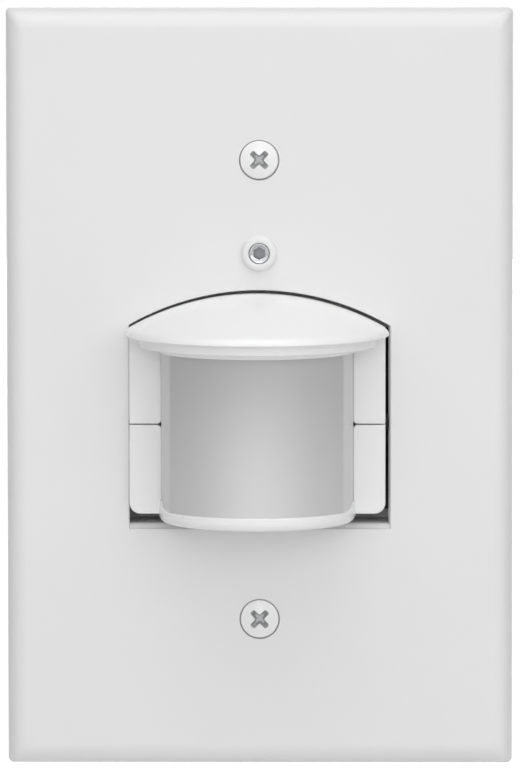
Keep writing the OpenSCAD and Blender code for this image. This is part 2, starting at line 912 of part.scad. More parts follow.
module sensor_board() {
    color("darkgreen")
    translate([head_shift, 0, 0])
    difference() {
        block(-sens_x, sens_x, sens_y, sens_y + board_t, lens_low + sens_edge, lens_top - sens_edge);
        sides()
        translate([sens_x - sens_edge, 0, lens_top - 2 * sens_edge])
        rod_y(board_screw_r, sens_y - 1, sens_y + board_t + 1);
    }
}

module pyro_detector() {
    color("silver")
    translate([head_shift, 0, eye_z])
    difference() {
        union() {
            rod_y(pyro_r + pyro_lip, sens_y - pyro_lip, sens_y);
            rod_y(pyro_r, sens_y - pyro_l, sens_y - pyro_lip + seat);
        }
        block(-window_w / 2, window_w / 2, sens_y - pyro_l - 1, sens_y - pyro_l + pyro_lip,
            -window_h / 2, window_h / 2);
    }
}

module detector_window() {
    x = window_w / 2 - seat;
    z = window_h / 2 - seat;
    color("dimgray")
    translate([head_shift, 0, eye_z])
    block(-x, x, sens_y - pyro_l + seat, sens_y - pyro_l + pyro_lip - seat, -z, z);
}

module light_sensor() {
    color("sienna")
    translate([head_shift + eye_x, 0, cell_z])
    rod_y(cell_r, sens_y - cell_l, sens_y);
}

module indicator_led() {
    color("red")
    translate([head_shift - eye_x, 0, cell_z])
    union() {
        rod_y(led_r + bite, sens_y - led_r / 2, sens_y);
        rod_y(led_r, sens_y - led_l, sens_y - led_r / 2 + seat);
        translate([0, sens_y - led_l, 0])
        rotate([90, 0, 0])
        rotate_extrude()
        intersection() {
            circle(r = led_r, $fn = 32);
            square([led_r, led_r]);
        }
    }
}

module head_back() {
    x = bw - shell_t - 2 * seat;
    color("gainsboro")
    translate([head_shift, 0, 0])
    difference() {
        block(-x, x, cover_y, rear_y, ear_low + shell_t + 2 * seat, rim_z - shell_t - 2 * seat);
        sides()
        for (pz = [post_up, post_dn])
        translate([post_x, 0, pz])
        rod_y(head_screw_r + 4 * seat, cover_y - 1, rear_y + 1);
        block(-plug_w / 2 - bite, plug_w / 2 + bite, cover_y - 1, rear_y + 1,
            eye_z - plug_h / 2 - bite, eye_z + plug_h / 2 + bite);
    }
}

module head_screws() {
    color("silver")
    translate([head_shift, 0, 0])
    sides()
    for (pz = [post_up, post_dn])
    translate([post_x, 0, pz])
    difference() {
        union() {
            rod_y(head_screw_r, ear_y + shell_t + 2 * head_screw_r, rear_y + seat);
            rod_y(head_head_r, rear_y, rear_y + head_head_t);
        }
        cross_cut(1.4 * head_head_r, 0.3 * head_head_r, rear_y + head_head_t / 2,
            rear_y + 2 * head_head_t);
    }
}

module head_connector() {
    color("ivory")
    translate([head_shift, 0, eye_z])
    block(-plug_w / 2, plug_w / 2, sens_y + board_t, rear_y + plug_out, -plug_h / 2, plug_h / 2);
}

module rear_housing() {
    lip_x = open_x + collar_t;
    color("darkslategray")
    difference() {
        union() {
            block(-case_w / 2, case_w / 2, case_y, case_d, -case_h / 2, case_h / 2);
            block(-lip_x, lip_x, case_y, tab_y, -case_h / 2, case_h / 2);
            corners(boss_x / 2, boss_z)
            rod_y(tab_r, case_y, tab_y);
            sides()
            block(boss_x / 2 - tab_r, boss_x / 2 + tab_r, case_y, tab_y, -boss_z, boss_z);
        }
        difference() {
            block(-case_x, case_x, case_y - 1, case_d - floor_t, -case_z, case_z);
            corners(pad_x, pad_z)
            rod_y(stand_r, comp_y + seat, case_d);
            for (sx = [-1, 0, 1])
            translate([sx * term_x, 0, term_z])
            rod_y(term_r + term_wall, case_d - term_len - floor_t, case_d);
        }
        corners(boss_x / 2, boss_z)
        rod_y(boss_screw_r + 4 * seat, case_y - 1, tab_y + 1);
        corners(pad_x, pad_z)
        rod_y(board_screw_r + seat, comp_y - 1, comp_y + 5 * board_t);
        for (sx = [-1, 0, 1])
        translate([sx * term_x, 0, term_z])
        rod_y(term_r + seat, case_d - term_len - bite, case_d + 1);
        for (i = [-vent_n:vent_n])
        block(i * vent_pitch - vent_w / 2, i * vent_pitch + vent_w / 2, case_d - 2 * floor_t,
            case_d + 1, case_z - vent_drop - vent_l, case_z - vent_drop);
    }
}

module housing_screws() {
    color("silver")
    corners(boss_x / 2, boss_z)
    difference() {
        union() {
            rod_y(boss_screw_r, back_y + 2 * boss_screw_r, tab_y + seat);
            rod_y(boss_head_r, tab_y, tab_y + boss_head_t);
        }
        cross_cut(1.4 * boss_head_r, 0.3 * boss_head_r, tab_y + boss_head_t / 2,
            tab_y + 2 * boss_head_t);
    }
}

module main_board() {
    x = case_x - board_gap;
    z = case_z - board_gap;
    color("darkgreen")
    difference() {
        block(-x, x, board_y, comp_y, -z, z);
        corners(pad_x, pad_z)
        rod_y(board_screw_r + 5 * seat, board_y - 1, comp_y + 1);
    }
}

module board_screws() {
    head_t = 0.65 * board_head_r;
    color("silver")
    corners(pad_x, pad_z)
    difference() {
        union() {
            rod_y(board_head_r, board_y - head_t, board_y);
            rod_y(board_screw_r, board_y - seat, comp_y + 4 * board_t);
        }
        cross_cut(1.4 * board_head_r, 0.3 * board_head_r, board_y - 2 * head_t,
            board_y - head_t / 2);
    }
}

module relay() {
    color("black")
    block(-relay_w / 2, relay_w / 2, comp_y, comp_y + relay_d, relay_low, relay_top);
}

module film_capacitor() {
    color("gold")
    translate([film_x, 0, film_z])
    block(-film_w / 2, film_w / 2, comp_y, comp_y + film_d, -film_h / 2, film_h / 2);
}

module smoothing_capacitor() {
    end_y = comp_y + elco_l;
    color("navy")
    translate([0, 0, elco_z])
    difference() {
        union() {
            rod_y(elco_r, comp_y + elco_in, end_y);
            rod_y(elco_r - bite, comp_y, comp_y + elco_in + seat);
        }
        cross_cut(1.2 * elco_r, bite, end_y - bite, end_y + 1);
    }
}

module varistor() {
    color("steelblue")
    translate([mov_x, comp_y + mov_r + elco_in, film_z])
    union() {
        translate([0, 0, -mov_t / 2])
        cylinder(r = mov_r, h = mov_t);
        sides()
        block(mov_r / 2 - leg_w / 2, mov_r / 2 + leg_w / 2, -mov_r - elco_in, 0, -leg_w / 2, leg_w / 2);
    }
}

module fuse() {
    color("lightgray")
    translate([fuse_x, comp_y + fuse_up, low_row])
    union() {
        rod_x(fuse_r, bite - fuse_l / 2, fuse_l / 2 - bite);
        sides() {
            rod_x(fuse_r + bite, fuse_l / 2 - fuse_cap, fuse_l / 2);
            block(fuse_l / 2 - fuse_cap / 2 - leg_w / 2, fuse_l / 2 - fuse_cap / 2 + leg_w / 2,
                -fuse_up, 0, -leg_w / 2, leg_w / 2);
        }
    }
}

module control_chip() {
    color("black")
    translate([0, 0, chip_z])
    difference() {
        block(-chip_w / 2, chip_w / 2, comp_y, comp_y + chip_d, -chip_h / 2, chip_h / 2);
        translate([-chip_w / 2, 0, 0])
        rod_y(leg_w, comp_y + chip_d - leg_w / 2, comp_y + chip_d + 1);
    }
}

module bridge_rectifier() {
    color("black")
    translate([bridge_x, 0, low_row])
    rod_y(bridge_r, comp_y, comp_y + bridge_d);
}

module board_connector() {
    color("ivory")
    translate([head_shift, 0, eye_z])
    block(-plug_w / 2, plug_w / 2, board_y - plug_d, board_y, -plug_h / 2, plug_h / 2);
}

module terminal_plate(w) {
    difference() {
        block(-w / 2, w / 2, case_d, case_d + term_t, -term_h / 2, term_h / 2);
        rod_y(term_r + seat, case_d - 1, case_d + term_t + 1);
    }
}

module binding_screw() {
    top_y = case_d + term_t + term_head_t;
    difference() {
        union() {
            rod_y(term_r, case_d - term_len, case_d + term_t + seat);
            rod_y(term_head_r, case_d + term_t, top_y);
        }
        block(-term_head_r - 1, term_head_r + 1, top_y - term_head_t / 2, top_y + 1,
            -term_head_r / 7, term_head_r / 7);
    }
}

module terminal_plates() {
    color("goldenrod")
    for (s = [-1, 1])
    translate([s * term_x, 0, term_z])
    terminal_plate(term_w);
}

module terminal_screws() {
    color("goldenrod")
    for (s = [-1, 1])
    translate([s * term_x, 0, term_z])
    binding_screw();
}

module ground_plate() {
    color("silver")
    translate([0, 0, term_z])
    terminal_plate(ground_w);
}

module ground_screw() {
    color("green")
    translate([0, 0, term_z])
    binding_screw();
}

module sensor_ribbon() {
    y0 = rear_y + plug_out;
    y1 = board_y - plug_d;
    r = (y1 - y0) / 2;
    color("gray")
    translate([head_shift, (y0 + y1) / 2, eye_z])
    difference() {
        rod_x(r, -ribbon_w / 2, ribbon_w / 2);
        rod_x(r - ribbon_t, -ribbon_w, ribbon_w);
        block(-ribbon_w, ribbon_w, -2 * r, 2 * r, 0, 2 * r);
    }
}

wall_plate();
mounting_screws();
adjuster_bushing();
pivot_bushes();
upper_shell();
lower_shell();
lens();
lens_frame();
pivot_pins();
friction_washer();
sensor_board();
pyro_detector();
detector_window();
light_sensor();
indicator_led();
head_back();
head_screws();
head_connector();
adjuster_shaft();
trimmer_rotor();
trimmer_case();
rear_housing();
housing_screws();
main_board();
board_screws();
relay();
film_capacitor();
smoothing_capacitor();
varistor();
fuse();
control_chip();
bridge_rectifier();
board_connector();
terminal_plates();
terminal_screws();
ground_plate();
ground_screw();
sensor_ribbon();
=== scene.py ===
# %% [markdown]
# # A motion sensor light switch
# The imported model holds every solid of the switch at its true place: a white plate for the
# wall, a sensor head that tilts in an arched opening, and a black housing behind. This lesson
# dresses that frame. Pieces that show are modelled again with soft moulded edges, and every
# solid gets the finish of the stuff that it is made of.

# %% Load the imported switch
import json
from math import acos, asin, cos, pi, radians, sin, sqrt

import bmesh
import bpy
from mathutils import Matrix, Vector


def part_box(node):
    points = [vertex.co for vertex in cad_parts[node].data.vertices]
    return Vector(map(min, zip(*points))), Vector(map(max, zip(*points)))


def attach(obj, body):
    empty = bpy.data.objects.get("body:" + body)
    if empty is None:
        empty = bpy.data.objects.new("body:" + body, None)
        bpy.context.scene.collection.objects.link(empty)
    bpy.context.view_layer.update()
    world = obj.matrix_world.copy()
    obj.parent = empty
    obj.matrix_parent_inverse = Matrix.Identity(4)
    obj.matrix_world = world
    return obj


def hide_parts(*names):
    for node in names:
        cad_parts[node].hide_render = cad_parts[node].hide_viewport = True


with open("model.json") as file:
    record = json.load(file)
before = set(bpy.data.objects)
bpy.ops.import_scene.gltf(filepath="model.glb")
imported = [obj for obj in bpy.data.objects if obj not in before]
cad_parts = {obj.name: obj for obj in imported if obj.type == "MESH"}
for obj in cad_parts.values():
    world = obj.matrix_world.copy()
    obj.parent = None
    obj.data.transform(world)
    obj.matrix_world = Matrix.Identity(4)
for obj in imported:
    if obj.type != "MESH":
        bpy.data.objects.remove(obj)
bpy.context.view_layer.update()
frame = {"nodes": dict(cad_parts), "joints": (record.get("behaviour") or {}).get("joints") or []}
scene = bpy.context.scene
MM = 0.001

# %% [markdown]
# ## The camera
# The plate nearly fills the picture and its edges are almost parallel, so the picture was taken
# with a long lens from far away, a little above the middle. The focal length follows from the
# width of the plate in the picture and the distance.

# %% Camera
IMAGE_H = 768
PLATE_PX = 504.6
VIEW_TURN = radians(0.8)
VIEW_RISE = radians(5.5)
VIEW_ROLL = radians(0.06)
VIEW_DISTANCE = 1.5
SENSOR = 24.0
AIM = Vector((0.2, 0, 0.55)) * MM

plate_low, plate_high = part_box("wall_plate")
plate_w = plate_high.x - plate_low.x
plate_h = plate_high.z - plate_low.z
focal_px = PLATE_PX * VIEW_DISTANCE / plate_w

lens_data = bpy.data.cameras.new("view")
lens_data.sensor_fit = "VERTICAL"
lens_data.sensor_height = SENSOR
lens_data.lens = focal_px / IMAGE_H * SENSOR
camera = bpy.data.objects.new("view", lens_data)
outward = Vector((sin(VIEW_TURN) * cos(VIEW_RISE), -cos(VIEW_TURN) * cos(VIEW_RISE), sin(VIEW_RISE)))
camera.location = AIM + outward * VIEW_DISTANCE
level = (-outward).to_track_quat("-Z", "Y").to_matrix()
camera.rotation_euler = (level @ Matrix.Rotation(-VIEW_ROLL, 3, "Z")).to_euler()
scene.collection.objects.link(camera)
scene.camera = camera
print("focal length", round(lens_data.lens, 1), "mm")

# %% [markdown]
# ## Colours and nodes
# Colours are written as sRGB hex values, as a paint chart gives them, and Blender's shaders work
# in linear light, so one function converts them. A second one adds a shader node, sets it and
# links it, which keeps each finish short enough to read.

# %% Colour and node helpers
def linear(hex_colour):
    """An sRGB hex colour as linear RGBA."""
    channels = [int(hex_colour[i:i + 2], 16) / 255 for i in (1, 3, 5)]
    bent = [c / 12.92 if c <= 0.04045 else ((c + 0.055) / 1.055) ** 2.4 for c in channels]
    return (*bent, 1.0)


def node(tree, kind, inputs=None, **settings):
    """Add one shader node, set its properties, and give its inputs values or links."""
    made = tree.nodes.new(kind)
    for name, value in settings.items():
        setattr(made, name, value)
    for name, value in (inputs or {}).items():
        socket = made.inputs[name]
        if isinstance(value, bpy.types.NodeSocket):
            tree.links.new(value, socket)
        else:
            socket.default_value = value
    return made


print("white as linear light:", [round(c, 3) for c in linear("#F2F2F0")])

# %% [markdown]
# ## Light
# The picture has no hard shadow: soft boxes hang in front and above, one stands a little to the
# right, and a pale room fills the rest. A box behind lights the back for other views. The
# background is white to the camera, in reflections and through glass only, so that it adds no
# light of its own.

# %% Room
ROOM = 0.14
WHITE = (1, 1, 1, 1)


def seen_directly(tree):
    """A socket that is 1 for rays of the camera, off a gloss or through glass, and 0 for the rest."""
    path = node(tree, "ShaderNodeLightPath")
    seen = node(tree, "ShaderNodeMath", {0: path.outputs["Is Camera Ray"], 1: path.outputs["Is Glossy Ray"]},
                operation="MAXIMUM")
    seen = node(tree, "ShaderNodeMath", {0: seen.outputs[0], 1: path.outputs["Is Transmission Ray"]},
                operation="MAXIMUM")
    return seen.outputs[0]


world = bpy.data.worlds.new("room")
scene.world = world
world.use_nodes = True
sky = world.node_tree
sky.nodes.clear()
room_light = node(sky, "ShaderNodeBackground", {"Color": WHITE, "Strength": ROOM})
white_card = node(sky, "ShaderNodeBackground", {"Color": WHITE, "Strength": 1.0})
both = node(sky, "ShaderNodeMixShader", {0: seen_directly(sky), 1: room_light.outputs[0],
                                         2: white_card.outputs[0]})
node(sky, "ShaderNodeOutputWorld", {"Surface": both.outputs[0]})
print("room light", ROOM)

# %% Lamps
# Name, direction from the plate, distance and width in metres, watts.
LAMPS = [
    ("front_box", (0.0, -1.0, 0.3), 1.5, 0.4, 1.8),
    ("high_box", (0.0, -1.0, 1.0), 1.2, 2.2, 12.8),
    ("top_box", (0.0, -0.35, 1.0), 1.2, 0.9, 3.0),
    ("side_box", (0.8, -1.0, 0.45), 1.5, 0.8, 1.9),
    ("back_box", (0.0, 1.0, 0.15), 1.5, 1.2, 10.0),
]
for name, direction, distance, width, watts in LAMPS:
    lamp = bpy.data.lights.new(name, "AREA")
    lamp.shape = "SQUARE"
    lamp.size = width
    lamp.energy = watts
    soft_box = bpy.data.objects.new(name, lamp)
    toward = Vector(direction).normalized()
    soft_box.location = toward * distance
    soft_box.rotation_euler = (-toward).to_track_quat("-Z", "Y").to_euler()
    scene.collection.objects.link(soft_box)
scene.view_settings.view_transform = "Standard"
print("lamps:", [row[0] for row in LAMPS])

# %% Floor
FLOOR_DROP = 30 * MM
FLOOR_REACH = 1.5
FLOOR_LIFT = 0.6
floor_mesh = bpy.data.meshes.new("floor")
floor_bm = bmesh.new()
bmesh.ops.create_grid(floor_bm, x_segments=1, y_segments=1, size=FLOOR_REACH,
                      matrix=Matrix.Translation((0, 0, plate_low.z - FLOOR_DROP)))
floor_bm.to_mesh(floor_mesh)
floor_bm.free()
floor = bpy.data.objects.new("floor", floor_mesh)
scene.collection.objects.link(floor)
floor_paint = bpy.data.materials.new("matt_white_floor")
floor_paint.use_nodes = True
tree = floor_paint.node_tree
tree.nodes.clear()
lift = node(tree, "ShaderNodeMath", {0: seen_directly(tree), 1: FLOOR_LIFT}, operation="MULTIPLY")
flat = node(tree, "ShaderNodeBsdfDiffuse", {"Color": linear("#F0F0F0")})
glow = node(tree, "ShaderNodeEmission", {"Color": WHITE, "Strength": lift.outputs[0]})
floor_sum = node(tree, "ShaderNodeAddShader", {0: flat.outputs[0], 1: glow.outputs[0]})
node(tree, "ShaderNodeOutputMaterial", {"Surface": floor_sum.outputs[0]})
floor_mesh.materials.append(floor_paint)
print("floor at", round((plate_low.z - FLOOR_DROP) / MM, 1), "mm")

# %% [markdown]
# ## Sizes
# Where the frame already knows a size, it is read from the boxes of its nodes, so the dressed
# pieces follow the solids. Only details that a box doesn't show are given here.

# %% Sizes from the frame
plate_z = (plate_low.z + plate_high.z) / 2
face_y = plate_low.y
collar_y = plate_high.y
lens_low, lens_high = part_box("lens")
cap_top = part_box("upper_shell")[1].z
foot_low, foot_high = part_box("lower_shell")
ring_low, ring_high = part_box("adjuster_bushing")
head_x = (lens_low.x + lens_high.x) / 2
lens_r = (lens_high.x - lens_low.x) / 2
mid_y = lens_low.y + lens_r
ear_x = (foot_high.x - foot_low.x) / 2
rear_y = foot_high.y
adjuster_z = (ring_low.z + ring_high.z) / 2
tilt = next(j for j in frame["joints"] if j["name"] == "head_tilt")
_, tilt_y, tilt_z = tilt["pos_m"]
print("head centre x", round(head_x / MM, 2), "lens radius", round(lens_r / MM, 2), "mm")

# %% Sizes of details
SKIN = 2.5 * MM
ROLL = 3.7 * MM
OPEN_X = 23.7 * MM
ARCH_R = 47.5 * MM
ARCH_GAP = 0.5 * MM
COLLAR = 1.2 * MM
LENS_IN = 0.8 * MM
EAR_DROP = 1.15 * MM
LOW_GAP = 3.0 * MM
back_y = face_y + SKIN
arch_top = cap_top + ARCH_GAP
arch_mid = arch_top - ARCH_R
lens_top = lens_high.z - LENS_IN
lens_bottom = lens_low.z + LENS_IN
ear_low = lens_bottom - EAR_DROP
open_low = ear_low - LOW_GAP
print("opening", round(2 * OPEN_X / MM, 1), "mm wide")

# %% [markdown]
# ## Modelling helpers
# Most of the switch is turned or moulded, so a piece starts as a few vertices or a cube, and
# operators do the rest. These helpers wrap the operators with the settings used all through:
# an arc is a spun vertex, a turned form is a spun outline, and a soft edge is a round bevel.

# %% Drawing and turning
WELD = 1e-7


def line(bm, points):
    """Join points by edges and return the new vertices."""
    verts = [bm.verts.new(p) for p in points]
    for pair in zip(verts, verts[1:]):
        bm.edges.new(pair)
    return verts


def swing(bm, vert, centre, axis, angle, steps):
    """Spin one vertex into an arc and return the vertex at its far end."""
    made = bmesh.ops.spin(bm, geom=[vert], cent=centre, axis=axis, angle=angle, steps=steps)
    return next(v for v in made["geom_last"] if isinstance(v, bmesh.types.BMVert))


def turn(bm, centre, axis, steps):
    """Spin all that is drawn once round an axis, weld it and point its faces outwards."""
    bmesh.ops.spin(bm, geom=bm.verts[:] + bm.edges[:], cent=centre, axis=axis, angle=2 * pi,
                   steps=steps, use_merge=True)
    bmesh.ops.remove_doubles(bm, verts=bm.verts, dist=WELD)
    bmesh.ops.recalc_face_normals(bm, faces=bm.faces)
    return bm


def lathe(profile, x=0, z=0, steps=48):
    """A new form turned about the depth of the switch, from pairs of radius and depth."""
    bm = bmesh.new()
    line(bm, [(x + r, y, z) for r, y in profile])
    return turn(bm, (x, 0, z), (0, 1, 0), steps)


def gather(bm, *others):
    """Put other bmeshes into one and free them."""
    for other in others:
        carrier = bpy.data.meshes.new("carrier")
        other.to_mesh(carrier)
        other.free()
        bm.from_mesh(carrier)
        bpy.data.meshes.remove(carrier)
    return bm


print("welding at", WELD / MM, "mm")

# %% Blocks and soft edges
NEAR = 1e-6
SHARP = radians(35)


def block(low, high):
    """A box between two corners, as a new bmesh."""
    bm = bmesh.new()
    low, high = Vector(low), Vector(high)
    bmesh.ops.create_cube(bm, size=1.0)
    bmesh.ops.scale(bm, vec=high - low, verts=bm.verts)
    bmesh.ops.translate(bm, vec=(low + high) / 2, verts=bm.verts)
    return bm


def round_off(bm, edges, width, segments):
    """Turn edges into rounded strips."""
    bmesh.ops.bevel(bm, geom=edges, offset=width, offset_type="OFFSET", segments=segments, profile=0.5,
                    affect="EDGES", material=-1, clamp_overlap=True)


def soften(bm, width, segments=3, where=None):
    """Round the edges that turn sharply, or only those among them that a test picks."""
    edges = [e for e in bm.edges if len(e.link_faces) == 2 and e.calc_face_angle(0) > SHARP
             and (where is None or where((e.verts[0].co + e.verts[1].co) / 2))]
    round_off(bm, edges, width, segments)
    return bm


def run_in_depth(edge):
    """How far an edge runs along the depth of the switch."""
    return abs((edge.verts[0].co - edge.verts[1].co).y)


print("edges over", round(SHARP * 180 / pi), "degrees are sharp")

# %% Turning a bmesh into a piece
SMOOTH = radians(38)


def piece(name, bm, slot, finishes, body, *nodes):
    """Make an object of a bmesh, in its place on a body, standing for nodes of the frame."""
    mesh = bpy.data.meshes.new(name)
    bm.to_mesh(mesh)
    bm.free()
    for finish in finishes:
        mesh.materials.append(finish)
    mesh.shade_smooth()
    mesh.set_sharp_from_angle(angle=SMOOTH)
    made = bpy.data.objects.new(name, mesh)
    scene.collection.objects.link(made)
    weighted = made.modifiers.new("even_shading", "WEIGHTED_NORMAL")
    weighted.keep_sharp = True
    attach(made, body)
    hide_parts(*nodes)
    print(name, len(mesh.polygons), "faces")


print("edges under", round(SMOOTH * 180 / pi), "degrees are shaded smooth")

# %% [markdown]
# ## A recipe for finishes
# One recipe serves most of the parts. A cast, plated or painted skin drifts between two shades in
# patches, and its gloss and relief may drift along. A moulded skin also has the fine grain of the
# tool's face, which shows in its gloss and relief, while its colour drifts in far larger patches.
# Finishes with a pattern of their own are written out where they are needed.

# %% Finish recipe
def surface(name, sockets):
    """A new material with one Principled shader, its tree, and the place of a point on the part."""
    made = bpy.data.materials.new(name)
    made.use_nodes = True
    tree = made.node_tree
    tree.nodes.clear()
    shader = node(tree, "ShaderNodeBsdfPrincipled", sockets)
    node(tree, "ShaderNodeOutputMaterial", {"Surface": shader.outputs[0]})
    return made, tree, shader, node(tree, "ShaderNodeTexCoord").outputs["Object"]


def patchy(name, sockets, dark, pale, patch, detail=2.0, gloss=None, relief=None, stretch=None, grain=None):
    """A skin in patches of two shades, with a range of gloss and a strength and depth of relief.

    A brushed skin has its patches stretched along the axes whose scale is under 1. A moulded one has
    a grain of its own, given as size, detail and roughness, and gloss and relief follow that.
    """
    made, tree, shader, place = surface(name, sockets)
    if stretch:
        place = node(tree, "ShaderNodeMapping", {"Vector": place, "Scale": stretch}).outputs[0]
    cloud = node(tree, "ShaderNodeTexNoise", {"Vector": place, "Scale": 1 / patch, "Detail": detail})
    tint = node(tree, "ShaderNodeMix", {0: cloud.outputs["Fac"], 6: linear(dark), 7: linear(pale)},
                data_type="RGBA")
    tree.links.new(tint.outputs[2], shader.inputs["Base Color"])
    texture = cloud
    if grain:
        size, fine, rough = grain
        texture = node(tree, "ShaderNodeTexNoise", {"Vector": place, "Scale": 1 / size, "Detail": fine,
                                                    "Roughness": rough})
    if gloss:
        sheen = node(tree, "ShaderNodeMapRange", {"Value": texture.outputs["Fac"], "To Min": gloss[0],
                                                  "To Max": gloss[1]})
        tree.links.new(sheen.outputs[0], shader.inputs["Roughness"])
    if relief:
        bump = node(tree, "ShaderNodeBump", {"Height": texture.outputs["Fac"], "Strength": relief[0],
                                             "Distance": relief[1]})
        tree.links.new(bump.outputs[0], shader.inputs["Normal"])
    print(name)
    return made


print("recipe ready")

# %% [markdown]
# ## White plastic
# The plate is moulded in a tool whose face was spark eroded to a fine satin, so light spreads
# softly over it and no reflection is sharp. The head comes from a smoother tool. Its ears are a
# little duller and wear a greyer copy of its white, which is painted shade of the cap above them.
# All get their grain from noise, as a bump too shallow to show as a pattern.
# The real grain is about 0.1 mm, too fine for the render, so it is drawn a few times coarser.

# %% White finishes
# Moulded polycarbonate from a spark-eroded tool: a soft sheen and no mirror images.
plate_white = patchy("satin_moulded_white_polycarbonate", {"IOR": 1.5}, "#E8E8E8", "#EBEBEB", patch=30 * MM,
                     gloss=(0.34, 0.46), relief=(0.06, 0.02 * MM), grain=(0.45 * MM, 3.0, 0.6))
# Moulded ABS from a polished tool: brighter and a little glossier than the plate.
head_white = patchy("smooth_moulded_white_abs", {"IOR": 1.53}, "#F5F5F5", "#F8F8F8", patch=18 * MM,
                    gloss=(0.17, 0.23), relief=(0.02, 0.01 * MM), grain=(0.3 * MM, 3.0, 0.6))
# The same ABS on the ears, a little duller; its greyer colour is painted shade of the cap above them.
ear_white_painted_shade = patchy("satin_moulded_white_abs", {"IOR": 1.53}, "#EEEEEE", "#F1F1F1", patch=18 * MM,
                   gloss=(0.3, 0.4), relief=(0.04, 0.015 * MM), grain=(0.3 * MM, 3.0, 0.6))

# %% [markdown]
# ## The plate
# The plate is a shallow white box with rolled edges, open at the back. A cube gives it: its
# front edges are rounded with a wide bevel, and the corners, where two rolls meet in a mitre,
# with a narrow one. The inside is a second, smaller box turned inside out. Front and back walls
# are then filled flat around the outlines of everything that passes through them.

# %% Plate skin
FACING = 0.9
CORNER = 1.0 * MM
# A hair inside the solid's box, because the corner bevel bulges by a micron.
HAIR = 0.002 * MM


def roll_box(width, height, depth, roll, steps, corner=0.0):
    """An open-backed box on the wall with rolled front edges and no front wall."""
    bm = block((-width / 2, -depth, plate_z - height / 2), (width / 2, 0, plate_z + height / 2))
    back = [f for f in bm.faces if f.normal.y > FACING]
    bmesh.ops.delete(bm, geom=back, context="FACES_ONLY")
    front = next(f for f in bm.faces if f.normal.y < -FACING)
    round_off(bm, front.edges[:], roll, steps)
    if corner:
        mitre = [e for e in bm.edges if len(e.link_faces) == 2 and e.calc_face_angle(0) > radians(3)
                 and {f.normal.x ** 2 > f.normal.z ** 2 for f in e.link_faces} == {True, False}
                 and run_in_depth(e) > WELD]
        round_off(bm, mitre, corner, 5)
    front = max((f for f in bm.faces if f.normal.y < -FACING), key=lambda f: f.calc_area())
    bmesh.ops.delete(bm, geom=[front], context="FACES_ONLY")
    return bm


plate = roll_box(plate_w - 2 * HAIR, plate_h - 2 * HAIR, -face_y, ROLL, 14, CORNER)
pocket = roll_box(plate_w - 2 * SKIN, plate_h - 2 * SKIN, -back_y, ROLL - SKIN, 4)
bmesh.ops.reverse_faces(pocket, faces=pocket.faces)
gather(plate, pocket)
print("skin", len(plate.faces), "faces")

# %% [markdown]
# ## The opening
# The head tilts in an arched opening whose collar runs back into the wall box. Its edges stand in
# a little just behind the face, the sill rises in a small step, a rib hangs from the crown and a
# low wall stands at the far end, which keep light and dust from the circuit board. One outline,
# drawn again at each depth with its own reaches and bridged to the next, gives it all in one skin.

# %% Head opening
ARCH_STEPS = 24
SILL = 0.9 * MM
STOP = 1.5 * MM
STOP_T = 0.8 * MM
STOP_SLOPE = 0.2 * MM
# Depth behind the face, then how far crown, sill, right and left side stand in there, and how
# far the right half of the crown leans after the head, which stands left of the middle, in mm.
THROAT = [(0, 0.1, 0, 0, 0, 0.3), (0.25, 0.1, 0.02, 0.05, 0.13, 0.3), (0.7, 0.1, 0.05, 0.14, 0.14, 0.3),
          (0.95, 0, 0.5, 0.19, 0.14), (1.2, 0, 0.8, 0.24, 0.15), (1.6, 0, 0.9, 0.32, 0.15),
          (2.0, 0, 0.9, 0.4, 0.15), (2.2, 0, 0.9), (6.8, 0, 0.9), (7.0, 1.3, 0.9), (7.8, 1.3, 0.9),
          (8.0, 0, 0.9)]


def arch(bm, grow, y, crown=0.0, sill=0.0, right_lip=0.0, left_lip=0.0, lean=0.0):
    """The outline of the head opening, grown by a wall or drawn in by a lip, at one depth."""
    before = set(bm.edges)
    x = OPEN_X + grow - right_lip
    far = OPEN_X + grow - left_lip
    r = ARCH_R + grow - crown
    right = bm.verts.new((x, y, arch_mid + sqrt(r * r - (x + lean) ** 2)))
    peak = swing(bm, right, (-lean, y, arch_mid), (0, -1, 0), asin((x + lean) / r), ARCH_STEPS)
    left = swing(bm, peak, (0, y, arch_mid), (0, -1, 0), asin(far / r) - asin(lean / r), ARCH_STEPS)
    low_left, low_right = line(bm, [(-far, y, open_low - grow + sill), (x, y, open_low - grow + sill)])
    bm.edges.new((left, low_left))
    bm.edges.new((low_right, right))
    return [e for e in bm.edges if e not in before]


collar = [arch(plate, 0, face_y + depth * MM, *(reach * MM for reach in reaches))
          for depth, *reaches in THROAT]
stop_y = collar_y - STOP_T
collar += [arch(plate, 0, stop_y, 0, SILL), arch(plate, 0, stop_y + STOP_SLOPE, 0, SILL + STOP),
           arch(plate, 0, collar_y, 0, SILL + STOP), arch(plate, COLLAR, collar_y),
           arch(plate, COLLAR, back_y)]
for near, far in zip(collar, collar[1:]):
    bmesh.ops.bridge_loops(plate, edges=near + far)
print("opening", len(collar[0]), "edges round, sill", SILL / MM, "mm high")

# %% Screw seats, adjuster hole and housing bosses
PITCH = 83.34 * MM
SINK_R = 3.62 * MM
SINK_WALL = 0.8 * MM
SINK_EDGE = 0.15 * MM
SINK_D = 2.0125 * MM
HOLE_R = 2.0 * MM
BOSS_R = 5.0 * MM
BOSS_Y = -0.4 * MM
ADJUSTER_BORE = 2.55 * MM
HOUSE_X = 15.0 * MM
HOUSE_Z = 35.6 * MM
POST_R = 2.5 * MM
PILOT_R = 1.25 * MM
FOUR = [(sx, sz) for sx in (-1, 1) for sz in (-1, 1)]


